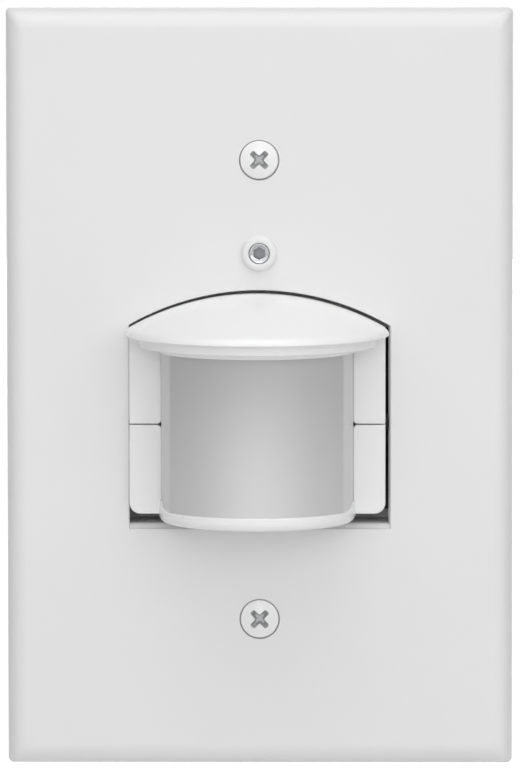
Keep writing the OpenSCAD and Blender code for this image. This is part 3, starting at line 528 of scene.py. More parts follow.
seat = [(SINK_R + SINK_EDGE * (1 - sin(a)), face_y + SINK_EDGE * (1 - cos(a)))
        for a in (0, pi / 8, pi / 4, 3 * pi / 8, pi / 2)]
seat += [(SINK_R, face_y + SINK_WALL), (HOLE_R, face_y + SINK_D), (HOLE_R, BOSS_Y), (BOSS_R, BOSS_Y),
         (BOSS_R, back_y)]
holes = [lathe(seat, 0, s * PITCH / 2) for s in (-1, 1)]
holes.append(lathe([(ADJUSTER_BORE, face_y), (ADJUSTER_BORE, back_y)], 0, adjuster_z))
post = [(POST_R, back_y), (POST_R, collar_y), (PILOT_R, collar_y), (PILOT_R, back_y + MM), (0, back_y + MM)]
holes += [lathe(post, sx * HOUSE_X, sz * HOUSE_Z, steps=32) for sx, sz in FOUR]
gather(plate, *holes)
print("turned walls", len(holes))

# %% Front, pocket floor and back rim
FLAT = radians(0.5)
for depth in (face_y, back_y, 0.0):
    rim = [e for e in plate.edges if len(e.link_faces) == 1
           and all(abs(v.co.y - depth) < NEAR for v in e.verts)]
    wall = bmesh.ops.triangle_fill(plate, edges=rim, use_beauty=True,
                                   normal=(0, -1 if depth == face_y else 1, 0))
    faces = [f for f in wall["geom"] if isinstance(f, bmesh.types.BMFace)]
    bmesh.ops.dissolve_limit(plate, angle_limit=FLAT, use_dissolve_boundaries=False,
                             verts=list(dict.fromkeys(v for f in faces for v in f.verts)),
                             edges=list(dict.fromkeys(e for f in faces for e in f.edges
                                                      if len(e.link_faces) == 2
                                                      and all(g in faces for g in e.link_faces))))
bmesh.ops.recalc_face_normals(plate, faces=plate.faces)
print("plate", len(plate.faces), "faces, open edges", sum(len(e.link_faces) != 2 for e in plate.edges))

# %% Plate piece
EDGE = 0.22 * MM
BUSH_WALL = 1.6 * MM
BUSH_BACK = -0.3 * MM
BUSH_EDGE = 0.3 * MM
SINK_IN = 0.1 * MM


def opening_edge(p):
    """True for a point on the front edge of the opening."""
    return (abs(p.y - face_y) < NEAR and abs(p.x) < OPEN_X + NEAR
            and open_low - NEAR < p.z < arch_top + NEAR)


soften(plate, EDGE, 3, opening_edge)
bush_low, bush_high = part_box("pivot_bushes")
for side in (-1, 1):
    x = sorted((side * (OPEN_X + COLLAR / 2), side * (bush_high.x + COLLAR)))
    gather(plate, soften(block((x[0], back_y - SINK_IN, bush_low.z - BUSH_WALL),
                               (x[1], BUSH_BACK, bush_high.z + BUSH_WALL)), BUSH_EDGE))
piece("wall_plate_moulding", plate, "plate_white", [plate_white], "base", "wall_plate")

# %% [markdown]
# ## The sensor head
# The head is a lathe form that was pushed into a box: dome, bands, lens and bottom rim are all
# turned about one upright axis in front of the plate, and two flat ears beside the lens carry it
# between the sides of the opening. Each turned form is an outline, spun once, then cut flat at
# the back with a plane.

# %% Cut helper
def keep(bm, point, outward):
    """Cut a solid with a plane, drop what lies beyond it and close the cut."""
    cut = bmesh.ops.bisect_plane(bm, geom=bm.verts[:] + bm.edges[:] + bm.faces[:], plane_co=point,
                                 plane_no=outward, clear_outer=True, dist=WELD / 10)
    rim = [e for e in cut["geom_cut"] if isinstance(e, bmesh.types.BMEdge)]
    bmesh.ops.triangle_fill(bm, edges=rim, use_beauty=True, use_dissolve=True)
    bmesh.ops.recalc_face_normals(bm, faces=bm.faces)
    return bm


print("plane cuts ready")

# %% Upper head: dome and bands
DOME_R = 47.0 * MM
CAP_R = 23.9 * MM
CAP_EDGE = 2.2 * MM
BAND_R = 21.6 * MM
BAND_EDGE = 0.25 * MM
BRIM_Y = -8.6 * MM
EAR_Y = -9.2 * MM

step_r = lens_r + 0.55 * MM
band_z = lens_top + 1.05 * MM
rim_z = lens_top + 2.9 * MM
axis_at = Vector((head_x, mid_y, 0))
dome_z = cap_top - DOME_R
edge_x = CAP_R - CAP_EDGE
edge_z = dome_z + sqrt((DOME_R - CAP_EDGE) ** 2 - edge_x ** 2)
dome_angle = asin(edge_x / (DOME_R - CAP_EDGE))


def dome():
    """The cap and its two bands as one turned solid."""
    bm = bmesh.new()
    top = bm.verts.new(axis_at + Vector((0, 0, cap_top)))
    shoulder = swing(bm, top, axis_at + Vector((0, 0, dome_z)), (0, 1, 0), dome_angle, 24)
    edge_turn = acos((rim_z - edge_z) / CAP_EDGE) - dome_angle
    rim = swing(bm, shoulder, axis_at + Vector((edge_x, 0, edge_z)), (0, 1, 0), edge_turn, 10)
    points = [(BAND_R, rim_z), (BAND_R, band_z), (step_r, band_z), (step_r, lens_top), (0, lens_top)]
    first = line(bm, [(head_x + r, mid_y, z) for r, z in points])[0]
    bm.edges.new((rim, first))
    turn(bm, axis_at, (0, 0, 1), steps=128)
    return soften(bm, BAND_EDGE)


front = keep(dome(), (0, BRIM_Y, 0), (0, 1, 0))
rear = keep(dome(), (0, BRIM_Y, 0), (0, -1, 0))
rear = keep(rear, (0, rear_y, 0), (0, 1, 0))
for side in (-1, 1):
    rear = keep(rear, (head_x + side * ear_x, 0, 0), (side, 0, 0))
print("dome turned through", round(dome_angle * 180 / pi, 1), "degrees")

# %% Upper head: ears and roof
SEAM = 0.09 * MM
NOTCH = 0.4 * MM
EAR_EDGE = 0.3 * MM
INNER_EDGE = 0.1 * MM
EAR_TUCK = 0.2 * MM
ROOF_BACK = 2 * MM
ROOF_RISE = 1.3 * MM
window_x = lens_r + 0.03 * MM


def ear(side, low, high, corner=0.0):
    """One ear beside the lens, from the seam to its end, with a notch where the seam meets the lens."""
    inner = head_x + side * window_x
    outer = head_x + side * ear_x
    x = sorted((inner, outer))
    bm = block((x[0], EAR_Y, low), (x[1], rear_y, high))
    for face in bm.faces:
        face.material_index = 1
    seam = low if low > tilt_z else high
    soften(bm, NOTCH, 1, lambda p: abs(p.x - inner) < NEAR and abs(p.z - seam) < NEAR)
    if corner:
        soften(bm, corner, 8, lambda p: abs(p.x - outer) < NEAR and abs(p.z - low) < NEAR)
    soften(bm, EAR_EDGE, 3, lambda p: abs(p.x - inner) > NEAR)
    return soften(bm, INNER_EDGE, 3, lambda p: abs(p.x - inner) < NEAR)


ears = [ear(side, tilt_z + SEAM, rim_z + EAR_TUCK) for side in (-1, 1)]
roof = block((head_x - window_x, EAR_Y + ROOF_BACK, lens_top + ROOF_RISE), (head_x + window_x, rear_y, rim_z))
gather(front, rear, roof, *ears)
piece("sensor_head_upper", front, "head_white", [head_white, ear_white_painted_shade], "head", "upper_shell")

# %% Lower head: ears, floor and bottom rim
EAR_R = 2.0 * MM
FOOT_EDGE = 1.5 * MM
FOOT_SOFT = 0.2 * MM
FOOT_BACK = 1.5 * MM
FLOOR_BACK = 0.3 * MM
CORNER_R = 1.45 * MM
CORNER_BAND = 0.25 * MM
SHELL = 1.6 * MM
foot_r = lens_r + 0.4 * MM


def foot():
    """The bottom rim under the lens as a turned solid, whose top edge rises at both ends."""
    bm = bmesh.new()
    x = head_x + foot_r
    top = bm.verts.new((head_x, mid_y, lens_bottom))
    corner, start = line(bm, [(x, mid_y, lens_bottom), (x, mid_y, foot_low.z + FOOT_EDGE)])
    bm.edges.new((top, corner))
    low = swing(bm, start, (x - FOOT_EDGE, mid_y, foot_low.z + FOOT_EDGE), (0, 1, 0), pi / 2, 8)
    middle = bm.verts.new((head_x, mid_y, foot_low.z))
    bm.edges.new((low, middle))
    turn(bm, axis_at, (0, 0, 1), steps=160)
    soften(bm, FOOT_SOFT, 2)
    for v in bm.verts:
        inset = max(window_x - abs(v.co.x - head_x), 0)
        outside = (v.co - axis_at).xy.length > lens_r
        if outside and v.co.z > lens_bottom - CORNER_BAND and inset < CORNER_R:
            v.co.z += CORNER_R - sqrt(CORNER_R ** 2 - (CORNER_R - inset) ** 2)
    return bm


rim = keep(foot(), (0, EAR_Y + FOOT_BACK, 0), (0, 1, 0))
ears = [ear(side, ear_low, tilt_z - SEAM, EAR_R) for side in (-1, 1)]
floor_wall = block((head_x - window_x, EAR_Y + FLOOR_BACK, ear_low),
                   (head_x + window_x, rear_y, ear_low + SHELL))
gather(rim, floor_wall, *ears)
piece("sensor_head_lower", rim, "head_white", [head_white, ear_white_painted_shade], "head", "lower_shell")

# %% [markdown]
# ## The lens
# The lens is a thin milky sheet of polyethylene, bent to a half cylinder. Its lens rings lie on
# the inside and don't show, and along each edge it has a plain, paler margin. One upright edge is
# pulled forward, spun half a turn and pulled back; a wall of its real thickness is added inside.

# %% Milky lens plastic
MARGIN_X = 15.6 * MM
MARGIN_SOFT = 0.25 * MM
MIDDLE_X = 12 * MM
LENS_GRAIN = 0.55 * MM

# Moulded high-density polyethylene: milky, lets little light through. Its grey, greyer than the shells,
# is painted shade: the dark inside of the head seen through the thin sheet.
lens_milk, tree, shader, place = surface("milky_moulded_polyethylene", {"IOR": 1.54, "Roughness": 0.38})
split = node(tree, "ShaderNodeSeparateXYZ", {0: place})
across = node(tree, "ShaderNodeMath", {0: split.outputs["X"], 1: head_x}, operation="SUBTRACT")
across = node(tree, "ShaderNodeMath", {0: across.outputs[0]}, operation="ABSOLUTE")
margin = node(tree, "ShaderNodeMapRange", {"Value": across.outputs[0], "From Min": MARGIN_X - MARGIN_SOFT,
                                           "From Max": MARGIN_X + MARGIN_SOFT})
# Painted shade: greyer at the top, where the cap above shades the lens, and paler towards the bottom.
shade_to_light_downwards = node(tree, "ShaderNodeMapRange", {"Value": split.outputs["Z"], "From Min": lens_top,
                                             "From Max": lens_bottom}, interpolation_type="SMOOTHSTEP")
# Painted light: a paler patch low in the middle, for light from inside the head seen through the lens.
middle = node(tree, "ShaderNodeMapRange", {"Value": across.outputs[0], "From Min": MIDDLE_X, "From Max": 0.0},
              interpolation_type="SMOOTHSTEP")
glow = node(tree, "ShaderNodeMath", {0: shade_to_light_downwards.outputs[0], 1: middle.outputs[0]}, operation="MULTIPLY")
cloud = node(tree, "ShaderNodeTexNoise", {"Vector": place, "Scale": 1 / (12 * MM), "Detail": 2.0})
mottle = node(tree, "ShaderNodeMapRange", {"Value": cloud.outputs["Fac"], "To Min": 0.0, "To Max": 0.12})
# Each step mixes the last shade with the next colour: painted shade makes it greyer at the top, a painted
# pool of light makes it paler low in the middle, then comes the random mottle and the paler margins.
tint = node(tree, "ShaderNodeMix", {0: shade_to_light_downwards.outputs[0], 6: linear("#BABABA"), 7: linear("#C9C9C9")},
            data_type="RGBA")
for share, colour in ((glow, "#D8D8D8"), (mottle, "#DCDCDB"), (margin, "#D7D7D7")):
    tint = node(tree, "ShaderNodeMix", {0: share.outputs[0], 6: tint.outputs[2], 7: linear(colour)},
                data_type="RGBA")
grain = node(tree, "ShaderNodeTexNoise", {"Vector": place, "Scale": 1 / LENS_GRAIN, "Detail": 2.0})
bump = node(tree, "ShaderNodeBump", {"Height": grain.outputs["Fac"], "Strength": 0.05, "Distance": 0.02 * MM})
tree.links.new(tint.outputs[2], shader.inputs["Base Color"])
tree.links.new(bump.outputs[0], shader.inputs["Normal"])
print(lens_milk.name)

# %% Lens piece
LENS_T = 0.8 * MM


def pull(bm, edges, depth):
    """Pull edges along the depth of the switch and return the new vertices and edges."""
    made = bmesh.ops.extrude_edge_only(bm, edges=edges)["geom"]
    bmesh.ops.translate(bm, vec=(0, depth, 0), verts=[v for v in made if isinstance(v, bmesh.types.BMVert)])
    return [g for g in made if not isinstance(g, bmesh.types.BMFace)]


sheet = bmesh.new()
line(sheet, [(lens_high.x, lens_high.y, lens_low.z), (lens_high.x, lens_high.y, lens_high.z)])
edge = pull(sheet, sheet.edges[:], mid_y - lens_high.y)
swept = bmesh.ops.spin(sheet, geom=edge, cent=axis_at, axis=(0, 0, -1), angle=pi, steps=96)["geom_last"]
pull(sheet, [e for e in swept if isinstance(e, bmesh.types.BMEdge)], lens_high.y - mid_y)
bmesh.ops.remove_doubles(sheet, verts=sheet.verts, dist=WELD)
bmesh.ops.recalc_face_normals(sheet, faces=sheet.faces)
if sum(f.normal.dot(f.calc_center_median() - axis_at) for f in sheet.faces) < 0:
    bmesh.ops.reverse_faces(sheet, faces=sheet.faces)
bmesh.ops.solidify(sheet, geom=sheet.faces[:], thickness=LENS_T)
piece("lens_sheet", sheet, "lens_grey", [lens_milk], "head", "lens")

# %% [markdown]
# ## Box screws
# Two oval-head machine screws hold the switch to the box in the wall. Their heads are painted to
# match the plate, and the driver recess shows bare metal where the paint is thin. The head is a
# turned outline; the recess is cut with a four-winged driver shape; the thread is one tooth,
# spun along the shank so that it climbs a pitch each turn.

# %% Screw finishes
# Enamel sprayed on steel: smooth, a little uneven, glossier than the plate.
screw_paint = patchy("white_enamelled_steel", {"IOR": 1.5, "Coat Weight": 0.2}, "#EDEDED", "#F5F5F5",
                     patch=0.5 * MM, detail=3.0, gloss=(0.26, 0.38), relief=(0.12, 0.03 * MM))
# Zinc-plated steel: pale grey, faintly cloudy, softly reflecting.
zinc = patchy("zinc_plated_steel", {"Metallic": 1.0}, "#A9ABAD", "#C9CBCC", patch=0.8 * MM, detail=4.0,
              gloss=(0.28, 0.45))
# Steel in the recess under a thin coat of paint: dull, grey and darker than the head.
bare_steel = patchy("thinly_painted_steel", {"Metallic": 0.3, "Roughness": 0.5}, "#B9BABB", "#D2D3D3",
                    patch=0.6 * MM, detail=3.0)

# %% Cutting tools
def cut_with(bm, cutter, finishes):
    """Cut one solid out of another; the faces of the cut take the last finish."""
    both = []
    for shape in (bm, cutter):
        mesh = bpy.data.meshes.new("cutting")
        shape.to_mesh(mesh)
        shape.free()
        both.append(bpy.data.objects.new("cutting", mesh))
        scene.collection.objects.link(both[-1])
        for finish in finishes:
            mesh.materials.append(finish)
    for face in both[1].data.polygons:
        face.material_index = len(finishes) - 1
    cut = both[0].modifiers.new("cut", "BOOLEAN")
    cut.object = both[1]
    cut.operation = "DIFFERENCE"
    cut.solver = "EXACT"
    bpy.context.view_layer.update()
    result = bmesh.new()
    result.from_mesh(both[0].evaluated_get(bpy.context.evaluated_depsgraph_get()).data)
    for old in both:
        mesh = old.data
        bpy.data.objects.remove(old)
        bpy.data.meshes.remove(mesh)
    return result


def cross_driver(length, width, depth, y, deep):
    """The wings and the pit of a driver tip that narrows as it goes in along Y, forwards or back."""
    tip = y + deep * depth
    near, far = sorted((y, tip))
    wings = [block((-length / 2, near, -width / 2), (length / 2, far, width / 2)),
             block((-width / 2, near, -length / 2), (width / 2, far, length / 2))]
    for wing in wings:
        soften(wing, 0.35 * width, 3, lambda p: near + NEAR < p.y < far - NEAR)
        bmesh.ops.scale(wing, vec=(0.5, 1, 0.5), verts=[v for v in wing.verts if abs(v.co.y - tip) < WELD])
    return *wings, lathe([(0, y), (0.85 * width, y), (0.4 * width, tip), (0, tip)], steps=32)


print("tools for recesses and slots ready")

# %% Screw thread
SCREW_R = 1.75 * MM
ROOT_R = 1.45 * MM
THREAD = 0.8 * MM
THREAD_Y = 0.5 * MM
THREAD_STEPS = 24
screw_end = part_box("mounting_screws")[1].y


def thread():
    """One tooth of the thread, spun along the shank."""
    bm = bmesh.new()
    tooth = line(bm, [(ROOT_R, THREAD_Y, 0), (SCREW_R, THREAD_Y + 0.35 * THREAD, 0),
                      (ROOT_R, THREAD_Y + 0.7 * THREAD, 0)])
    bm.edges.new((tooth[-1], tooth[0]))
    turns = int((screw_end - 3 * THREAD_Y) / THREAD)
    bmesh.ops.spin(bm, geom=bm.verts[:] + bm.edges[:], cent=(0, 0, 0), axis=(0, 1, 0),
                   dvec=(0, THREAD / THREAD_STEPS, 0), angle=2 * pi * turns, steps=THREAD_STEPS * turns)
    bmesh.ops.holes_fill(bm, edges=bm.edges)
    bmesh.ops.recalc_face_normals(bm, faces=bm.faces)
    return bm


print("thread climbs", THREAD / MM, "mm a turn")

# %% Box screws
NECK_R = 1.5 * MM
NECK_SLOPE = 1.15
HEAD_R = 3.42 * MM
HEAD_WALL = 0.5 * MM
HEAD_SOFT = 0.12 * MM
SIT = 0.1 * MM
CROWN = 0.9 * MM
LAND = 0.3 * MM
CORE_R = 1.5 * MM
WING_L = 4.3 * MM
WING_W = 1.1 * MM
WING_D = 2.0 * MM
OVERSHOOT = 0.05 * MM


def box_screw(z):
    """One painted screw, its crown in front of the plate and its thread in the wall."""
    bm = bmesh.new()
    rise = CROWN - LAND
    crown_r = (HEAD_R ** 2 + rise ** 2) / (2 * rise)
    top = bm.verts.new((0, face_y - CROWN, 0))
    rim = swing(bm, top, (0, face_y - CROWN + crown_r, 0), (0, 0, 1), asin(HEAD_R / crown_r), 10)
    wall_y = face_y + HEAD_WALL
    path = [(HEAD_R, wall_y), (NECK_R, wall_y + NECK_SLOPE * (HEAD_R - NECK_R)), (NECK_R, 0),
            (CORE_R, 0.2 * MM), (CORE_R, screw_end), (0, screw_end)]
    first = line(bm, [(r, y, 0) for r, y in path])[0]
    bm.edges.new((rim, first))
    turn(bm, (0, 0, 0), (0, 1, 0), steps=64)
    soften(bm, HEAD_SOFT, 2, lambda p: p.y < face_y + 0.3 * MM)
    for tool in cross_driver(WING_L, WING_W, WING_D, face_y - CROWN - OVERSHOOT, 1):
        bmesh.ops.rotate(tool, cent=(0, 0, 0), matrix=Matrix.Rotation(pi / 4, 3, "Y"), verts=tool.verts)
        bm = cut_with(bm, tool, [screw_paint, bare_steel])
    gather(bm, thread())
    bmesh.ops.translate(bm, vec=(0, 0, z), verts=bm.verts)
    return bm


screws = gather(box_screw(PITCH / 2 + SIT), box_screw(SIT - PITCH / 2))
for face in screws.faces:
    if face.calc_center_median().y > 0:
        face.material_index = 2
piece("box_screws", screws, "painted_screw", [screw_paint, bare_steel, zinc], "base", "mounting_screws")

# %% [markdown]
# ## The adjuster
# Above the head, a white ring is snapped into the plate. In it sits the end of a steel shaft
# with a hexagon socket for a small key, which turns the trimmer on the circuit board. Both are
# turned outlines, and the socket is cut with a six-sided cone.

# %% Adjuster finish
# Real tool marks lie about 0.1 mm apart, too fine to show, so they are drawn coarser.
TOOL_RING = 0.25 * MM
# A wave texture takes the sine of 20 times its scaled place, so a period P needs the scale WAVE / P.
WAVE = pi / 10

# Nickel-plated steel, turned on a lathe: bright, with fine rings from the tool.
nickel, tree, shader, place = surface("nickel_plated_turned_steel", {"Metallic": 1.0})
centred = node(tree, "ShaderNodeMapping", {"Vector": place, "Location": (0, 0, -adjuster_z)})
rings = node(tree, "ShaderNodeTexWave", {"Vector": centred.outputs[0], "Scale": WAVE / TOOL_RING,
                                         "Distortion": 0.6, "Detail": 1.0},
             wave_type="RINGS", rings_direction="Y")
cloud = node(tree, "ShaderNodeTexNoise", {"Vector": place, "Scale": 1 / (0.4 * MM), "Detail": 3.0})
tint = node(tree, "ShaderNodeMix", {0: cloud.outputs["Fac"], 6: linear("#9C9D9F"), 7: linear("#B2B3B5")},
            data_type="RGBA")
gloss = node(tree, "ShaderNodeMapRange", {"Value": cloud.outputs["Fac"], "To Min": 0.14, "To Max": 0.2})
bump = node(tree, "ShaderNodeBump", {"Height": rings.outputs["Fac"], "Strength": 0.15, "Distance": 0.01 * MM})
tree.links.new(tint.outputs[2], shader.inputs["Base Color"])
tree.links.new(gloss.outputs[0], shader.inputs["Roughness"])
tree.links.new(bump.outputs[0], shader.inputs["Normal"])
print(nickel.name)

# Bare steel down in the socket, where plating hardly reaches: dark and dull.
socket_steel = patchy("dull_socket_steel", {"Metallic": 1.0, "Roughness": 0.45}, "#7F8082", "#9C9D9F",
                      patch=0.5 * MM, detail=3.0)

# %% Adjuster ring
RING_EDGE = 0.8 * MM
RING_SOFT = 0.2 * MM
SHAFT_R = 1.84 * MM
SHAFT_GAP = 0.06 * MM
BARREL_R = 2.5 * MM
BARB = 0.4 * MM
ring_r = (ring_high.x - ring_low.x) / 2
bore = SHAFT_R + SHAFT_GAP
barb_y = back_y + 0.05 * MM
ring = bmesh.new()
start = ring.verts.new((ring_r, ring_low.y + RING_EDGE, 0))
top = swing(ring, start, (ring_r - RING_EDGE, ring_low.y + RING_EDGE, 0), (0, 0, -1), pi / 2, 8)
inner = line(ring, [(bore, ring_low.y, 0), (bore, ring_high.y, 0), (BARREL_R, ring_high.y, 0),
                    (BARREL_R + BARB, barb_y, 0), (BARREL_R, barb_y, 0), (BARREL_R, face_y, 0),
                    (ring_r, face_y, 0)])
ring.edges.new((top, inner[0]))
ring.edges.new((inner[-1], start))
turn(ring, (0, 0, 0), (0, 1, 0), steps=64)
soften(ring, RING_SOFT, 3, lambda p: p.y < ring_low.y + RING_SOFT / 2)
bmesh.ops.translate(ring, vec=(0, 0, adjuster_z), verts=ring.verts)
piece("adjuster_ring", ring, "plate_white", [plate_white], "base", "adjuster_bushing")

# %% Adjuster shaft
HEX_AF = 2.05 * MM
HEX_D = 2.6 * MM
ROD_END = 7.35 * MM
DRIVE = 0.8 * MM
SHAFT_SOFT = 0.1 * MM
# Radius and depth of the dished end, in mm.
DISH = [(0, 0.2), (1.15, 0.2), (1.3, 0.11), (1.45, 0.05), (1.6, 0.015), (1.7, 0)]
shaft_low, shaft_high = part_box("adjuster_shaft")
shaft = lathe([(r * MM, shaft_low.y + d * MM) for r, d in DISH]
              + [(SHAFT_R, shaft_low.y), (SHAFT_R, ROD_END), (0, ROD_END)], steps=96)
soften(shaft, SHAFT_SOFT)
socket = bmesh.new()
bmesh.ops.create_cone(socket, cap_ends=True, segments=6, radius1=HEX_AF / sqrt(3), radius2=HEX_AF / sqrt(3),
                      depth=2 * HEX_D, matrix=(Matrix.Translation((0, shaft_low.y, 0))
                                               @ Matrix.Rotation(pi / 2, 4, "X")))
shaft = cut_with(shaft, socket, [nickel, socket_steel])
drive = block((-DRIVE, ROD_END - SHAFT_SOFT, -DRIVE), (DRIVE, shaft_high.y, DRIVE))
gather(shaft, soften(drive, SHAFT_SOFT, 2))
bmesh.ops.translate(shaft, vec=(0, 0, adjuster_z), verts=shaft.verts)
piece("adjuster_key_shaft", shaft, "plated_steel", [nickel, socket_steel], "adjuster", "adjuster_shaft")

# %% [markdown]
# ## Pivot bushes
# The head tilts on two short steel pins. They run in nylon bushes pressed into the sides of the
# opening, so white plastic never rubs on white plastic. A bush is a small turned ring; a square
# outline spun about the tilt axis gives it, with a narrow bevel on each edge.

# %% Pivot bushes
PIN_BORE = 1.05 * MM
BUSH_OUT = 0.05 * MM
BUSH_SOFT = 0.15 * MM
# Moulded nylon: waxy, a dull sheen, hardly any texture.
nylon = patchy("moulded_grey_nylon", {"IOR": 1.53, "Roughness": 0.45}, "#4A4B4C", "#5C5D5E",
               patch=1.5 * MM, detail=3.0)
bush_r = (bush_high.z - bush_low.z) / 2
bushes = bmesh.new()
for side in (-1, 1):
    near, far = side * (OPEN_X - BUSH_OUT), side * bush_high.x
    ring = bmesh.new()
    corners = line(ring, [(near, tilt_y, tilt_z + PIN_BORE), (near, tilt_y, tilt_z + bush_r),
                          (far, tilt_y, tilt_z + bush_r), (far, tilt_y, tilt_z + PIN_BORE)])
    ring.edges.new((corners[-1], corners[0]))
    gather(bushes, soften(turn(ring, (0, tilt_y, tilt_z), (1, 0, 0), steps=48), BUSH_SOFT, 2))
piece("pivot_bush_pair", bushes, "bush_nylon", [nylon], "base", "pivot_bushes")

# %% [markdown]
# ## The housing
# Behind the plate a black box goes into the wall. It is moulded in one piece, with a lip and four
# screw tabs at the front and cooling slots in its back. A bevelled cube gives the box; a smaller
# cube hollows it and a row of slots is cut through the back. Tabs and lip are blocks that run
# into it, as their moulded walls do.

# %% Housing box
CASE_X = 22.5 * MM
CASE_Z = 33.0 * MM
CASE_T = 1.6 * MM
CASE_FLOOR = 1.8 * MM
CASE_EDGE = 1.2 * MM
# Flame-proof moulded polycarbonate, black, from a coarsely spark-eroded tool: dull and grainy.
case_black = patchy("textured_moulded_black_polycarbonate", {"IOR": 1.52}, "#232425", "#2D2E2F",
                    patch=14 * MM, gloss=(0.42, 0.62), relief=(0.35, 0.05 * MM), grain=(0.5 * MM, 4.0, 0.65))
case_low, case_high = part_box("rear_housing")
case = block((-CASE_X, case_low.y, -CASE_Z), (CASE_X, case_high.y, CASE_Z))
soften(case, CASE_EDGE, 5, lambda p: p.y > case_low.y + NEAR)
room = block((CASE_T - CASE_X, case_low.y - MM, CASE_T - CASE_Z),
             (CASE_X - CASE_T, case_high.y - CASE_FLOOR, CASE_Z - CASE_T))
case = cut_with(case, room, [case_black])
print("box", len(case.faces), "faces")

# %% Cooling slots
VENT_W = 1.6 * MM
VENT_L = 12.0 * MM
VENT_PITCH = 5.0 * MM
VENTS = range(-3, 4)
vent_top = CASE_Z - CASE_T - 5.4 * MM

slots = bmesh.new()
for i in VENTS:
    slot = block((i * VENT_PITCH - VENT_W / 2, case_high.y - 2 * CASE_FLOOR, vent_top - VENT_L),
                 (i * VENT_PITCH + VENT_W / 2, case_high.y + MM, vent_top))
    round_off(slot, [e for e in slot.edges if run_in_depth(e) > MM], 0.48 * VENT_W, 5)
    gather(slots, slot)
case = cut_with(case, slots, [case_black])
print("slotted box", len(case.faces), "faces")

# %% Tabs and lip
TAB_T = 2.0 * MM
TAB_R = 3.4 * MM
TAB_SOFT = 0.3 * MM
LIP_SOFT = 0.35 * MM

tab_y = case_low.y + TAB_T


def tab_end(p):
    """True for a point on the upright corners at the free end of a tab."""
    return abs(abs(p.z) - HOUSE_Z - TAB_R) < NEAR and case_low.y + NEAR < p.y < tab_y - NEAR


for sx in (-1, 1):
    x = sorted((sx * (CASE_X - CASE_T), sx * case_high.x))
    gather(case, soften(block((x[0], case_low.y, -CASE_Z), (x[1], tab_y, CASE_Z)), LIP_SOFT))
    for sz in (-1, 1):
        z = sorted((sz * (CASE_Z - CASE_T), sz * (HOUSE_Z + TAB_R)))
        tab = block((sx * HOUSE_X - TAB_R, case_low.y, z[0]), (sx * HOUSE_X + TAB_R, tab_y, z[1]))
        soften(tab, 0.98 * TAB_R, 12, tab_end)
        gather(case, soften(tab, TAB_SOFT, 2, lambda p: p.y > tab_y - NEAR))
piece("housing_box", case, "housing_black", [case_black], "base", "rear_housing")

# %% [markdown]
# ## Screws and terminals at the back
# Four pan-head screws hold the housing to the plate. Two brass terminals take the line and the
# load, and a green screw the ground. Each head is a turned outline; the recess or slot is cut
# with the same tools as on the front.

# %% Housing screws
PAN_R = 2.3 * MM
PAN_H = 1.6 * MM
PAN_SHANK = 1.2 * MM
PAN_REACH = 2.6 * MM
PAN_TIP = 0.2 * MM
DRIVER = (2.7 * MM, 0.62 * MM, 1.1 * MM)


def pan_screw(sx, sz):
    """One pan-head screw on a tab, driven from behind, each left at a turn of its own."""
    head = tab_y + PAN_H
    end = back_y + PAN_REACH
    bm = lathe([(0, head), (0.45 * PAN_R, head), (0.8 * PAN_R, head - 0.2 * MM),
                (0.97 * PAN_R, head - 0.65 * MM), (PAN_R, tab_y + 0.25 * MM), (0.97 * PAN_R, tab_y),
                (PAN_SHANK, tab_y), (PAN_SHANK, end), (0, end - PAN_TIP)])
    for tool in cross_driver(*DRIVER, head + OVERSHOOT, -1):
        bm = cut_with(bm, tool, [zinc])
    spin_on = Matrix.Rotation(0.4 * (1 + sx + 3 * sz), 3, "Y")
    bmesh.ops.rotate(bm, cent=(0, 0, 0), matrix=spin_on, verts=bm.verts)
    bmesh.ops.translate(bm, vec=(sx * HOUSE_X, 0, sz * HOUSE_Z), verts=bm.verts)
    return bm


pans = gather(bmesh.new(), *(pan_screw(sx, sz) for sx, sz in FOUR))
piece("housing_screw_set", pans, "plated_steel", [zinc], "base", "housing_screws")

# %% Terminal metals
# Brass, stamped or turned and left bare: warm yellow, softly brushed, with marks coarse enough to show.
brass = patchy("brushed_bare_brass", {"Metallic": 1.0}, "#9C8049", "#C4A86C", patch=0.3 * MM, detail=3.0,
               gloss=(0.24, 0.42), stretch=(0.12, 1, 1))
# Green-dyed plating on steel: the colour of a ground screw, still a metal's shine.
ground_green = patchy("green_dyed_plated_steel", {"Metallic": 1.0}, "#1F6B3E", "#3F9A60", patch=0.9 * MM,
                      detail=4.0, gloss=(0.26, 0.42))

# %% Binding screws and clamp plates
BIND_R = 3.5 * MM
BIND_SHANK = 1.6 * MM
BIND_SLOT = 1.0 * MM
CLAMP_R = 0.8 * MM
CLAMP_SOFT = 0.12 * MM
bind_low, bind_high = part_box("terminal_screws")


def binding_screw(x, z, base):
    """One wide slotted screw whose head clamps a wire on the plate below it."""
    top = bind_high.y
    bm = lathe([(0, top), (0.62 * BIND_R, top), (0.86 * BIND_R, top - 0.25 * MM),
                (0.98 * BIND_R, top - 0.7 * MM), (BIND_R, base + 0.4 * MM), (0.96 * BIND_R, base),
                (BIND_SHANK, base), (BIND_SHANK, bind_low.y), (0, bind_low.y)], steps=64)
    slot = block((-2 * BIND_R, top - BIND_SLOT, -BIND_SLOT / 2), (2 * BIND_R, top + MM, BIND_SLOT / 2))
    bm = cut_with(bm, slot, [brass])
    bmesh.ops.translate(bm, vec=(x, 0, z), verts=bm.verts)
    return bm


def clamp_plate(low, high):
    """A stamped plate with rounded corners."""
    bm = block(low, high)
    round_off(bm, [e for e in bm.edges if run_in_depth(e) > NEAR], CLAMP_R, 4)
    return soften(bm, CLAMP_SOFT, 2, lambda p: p.y > high[1] - NEAR)


print("binding screws", 2 * BIND_R / MM, "mm wide")

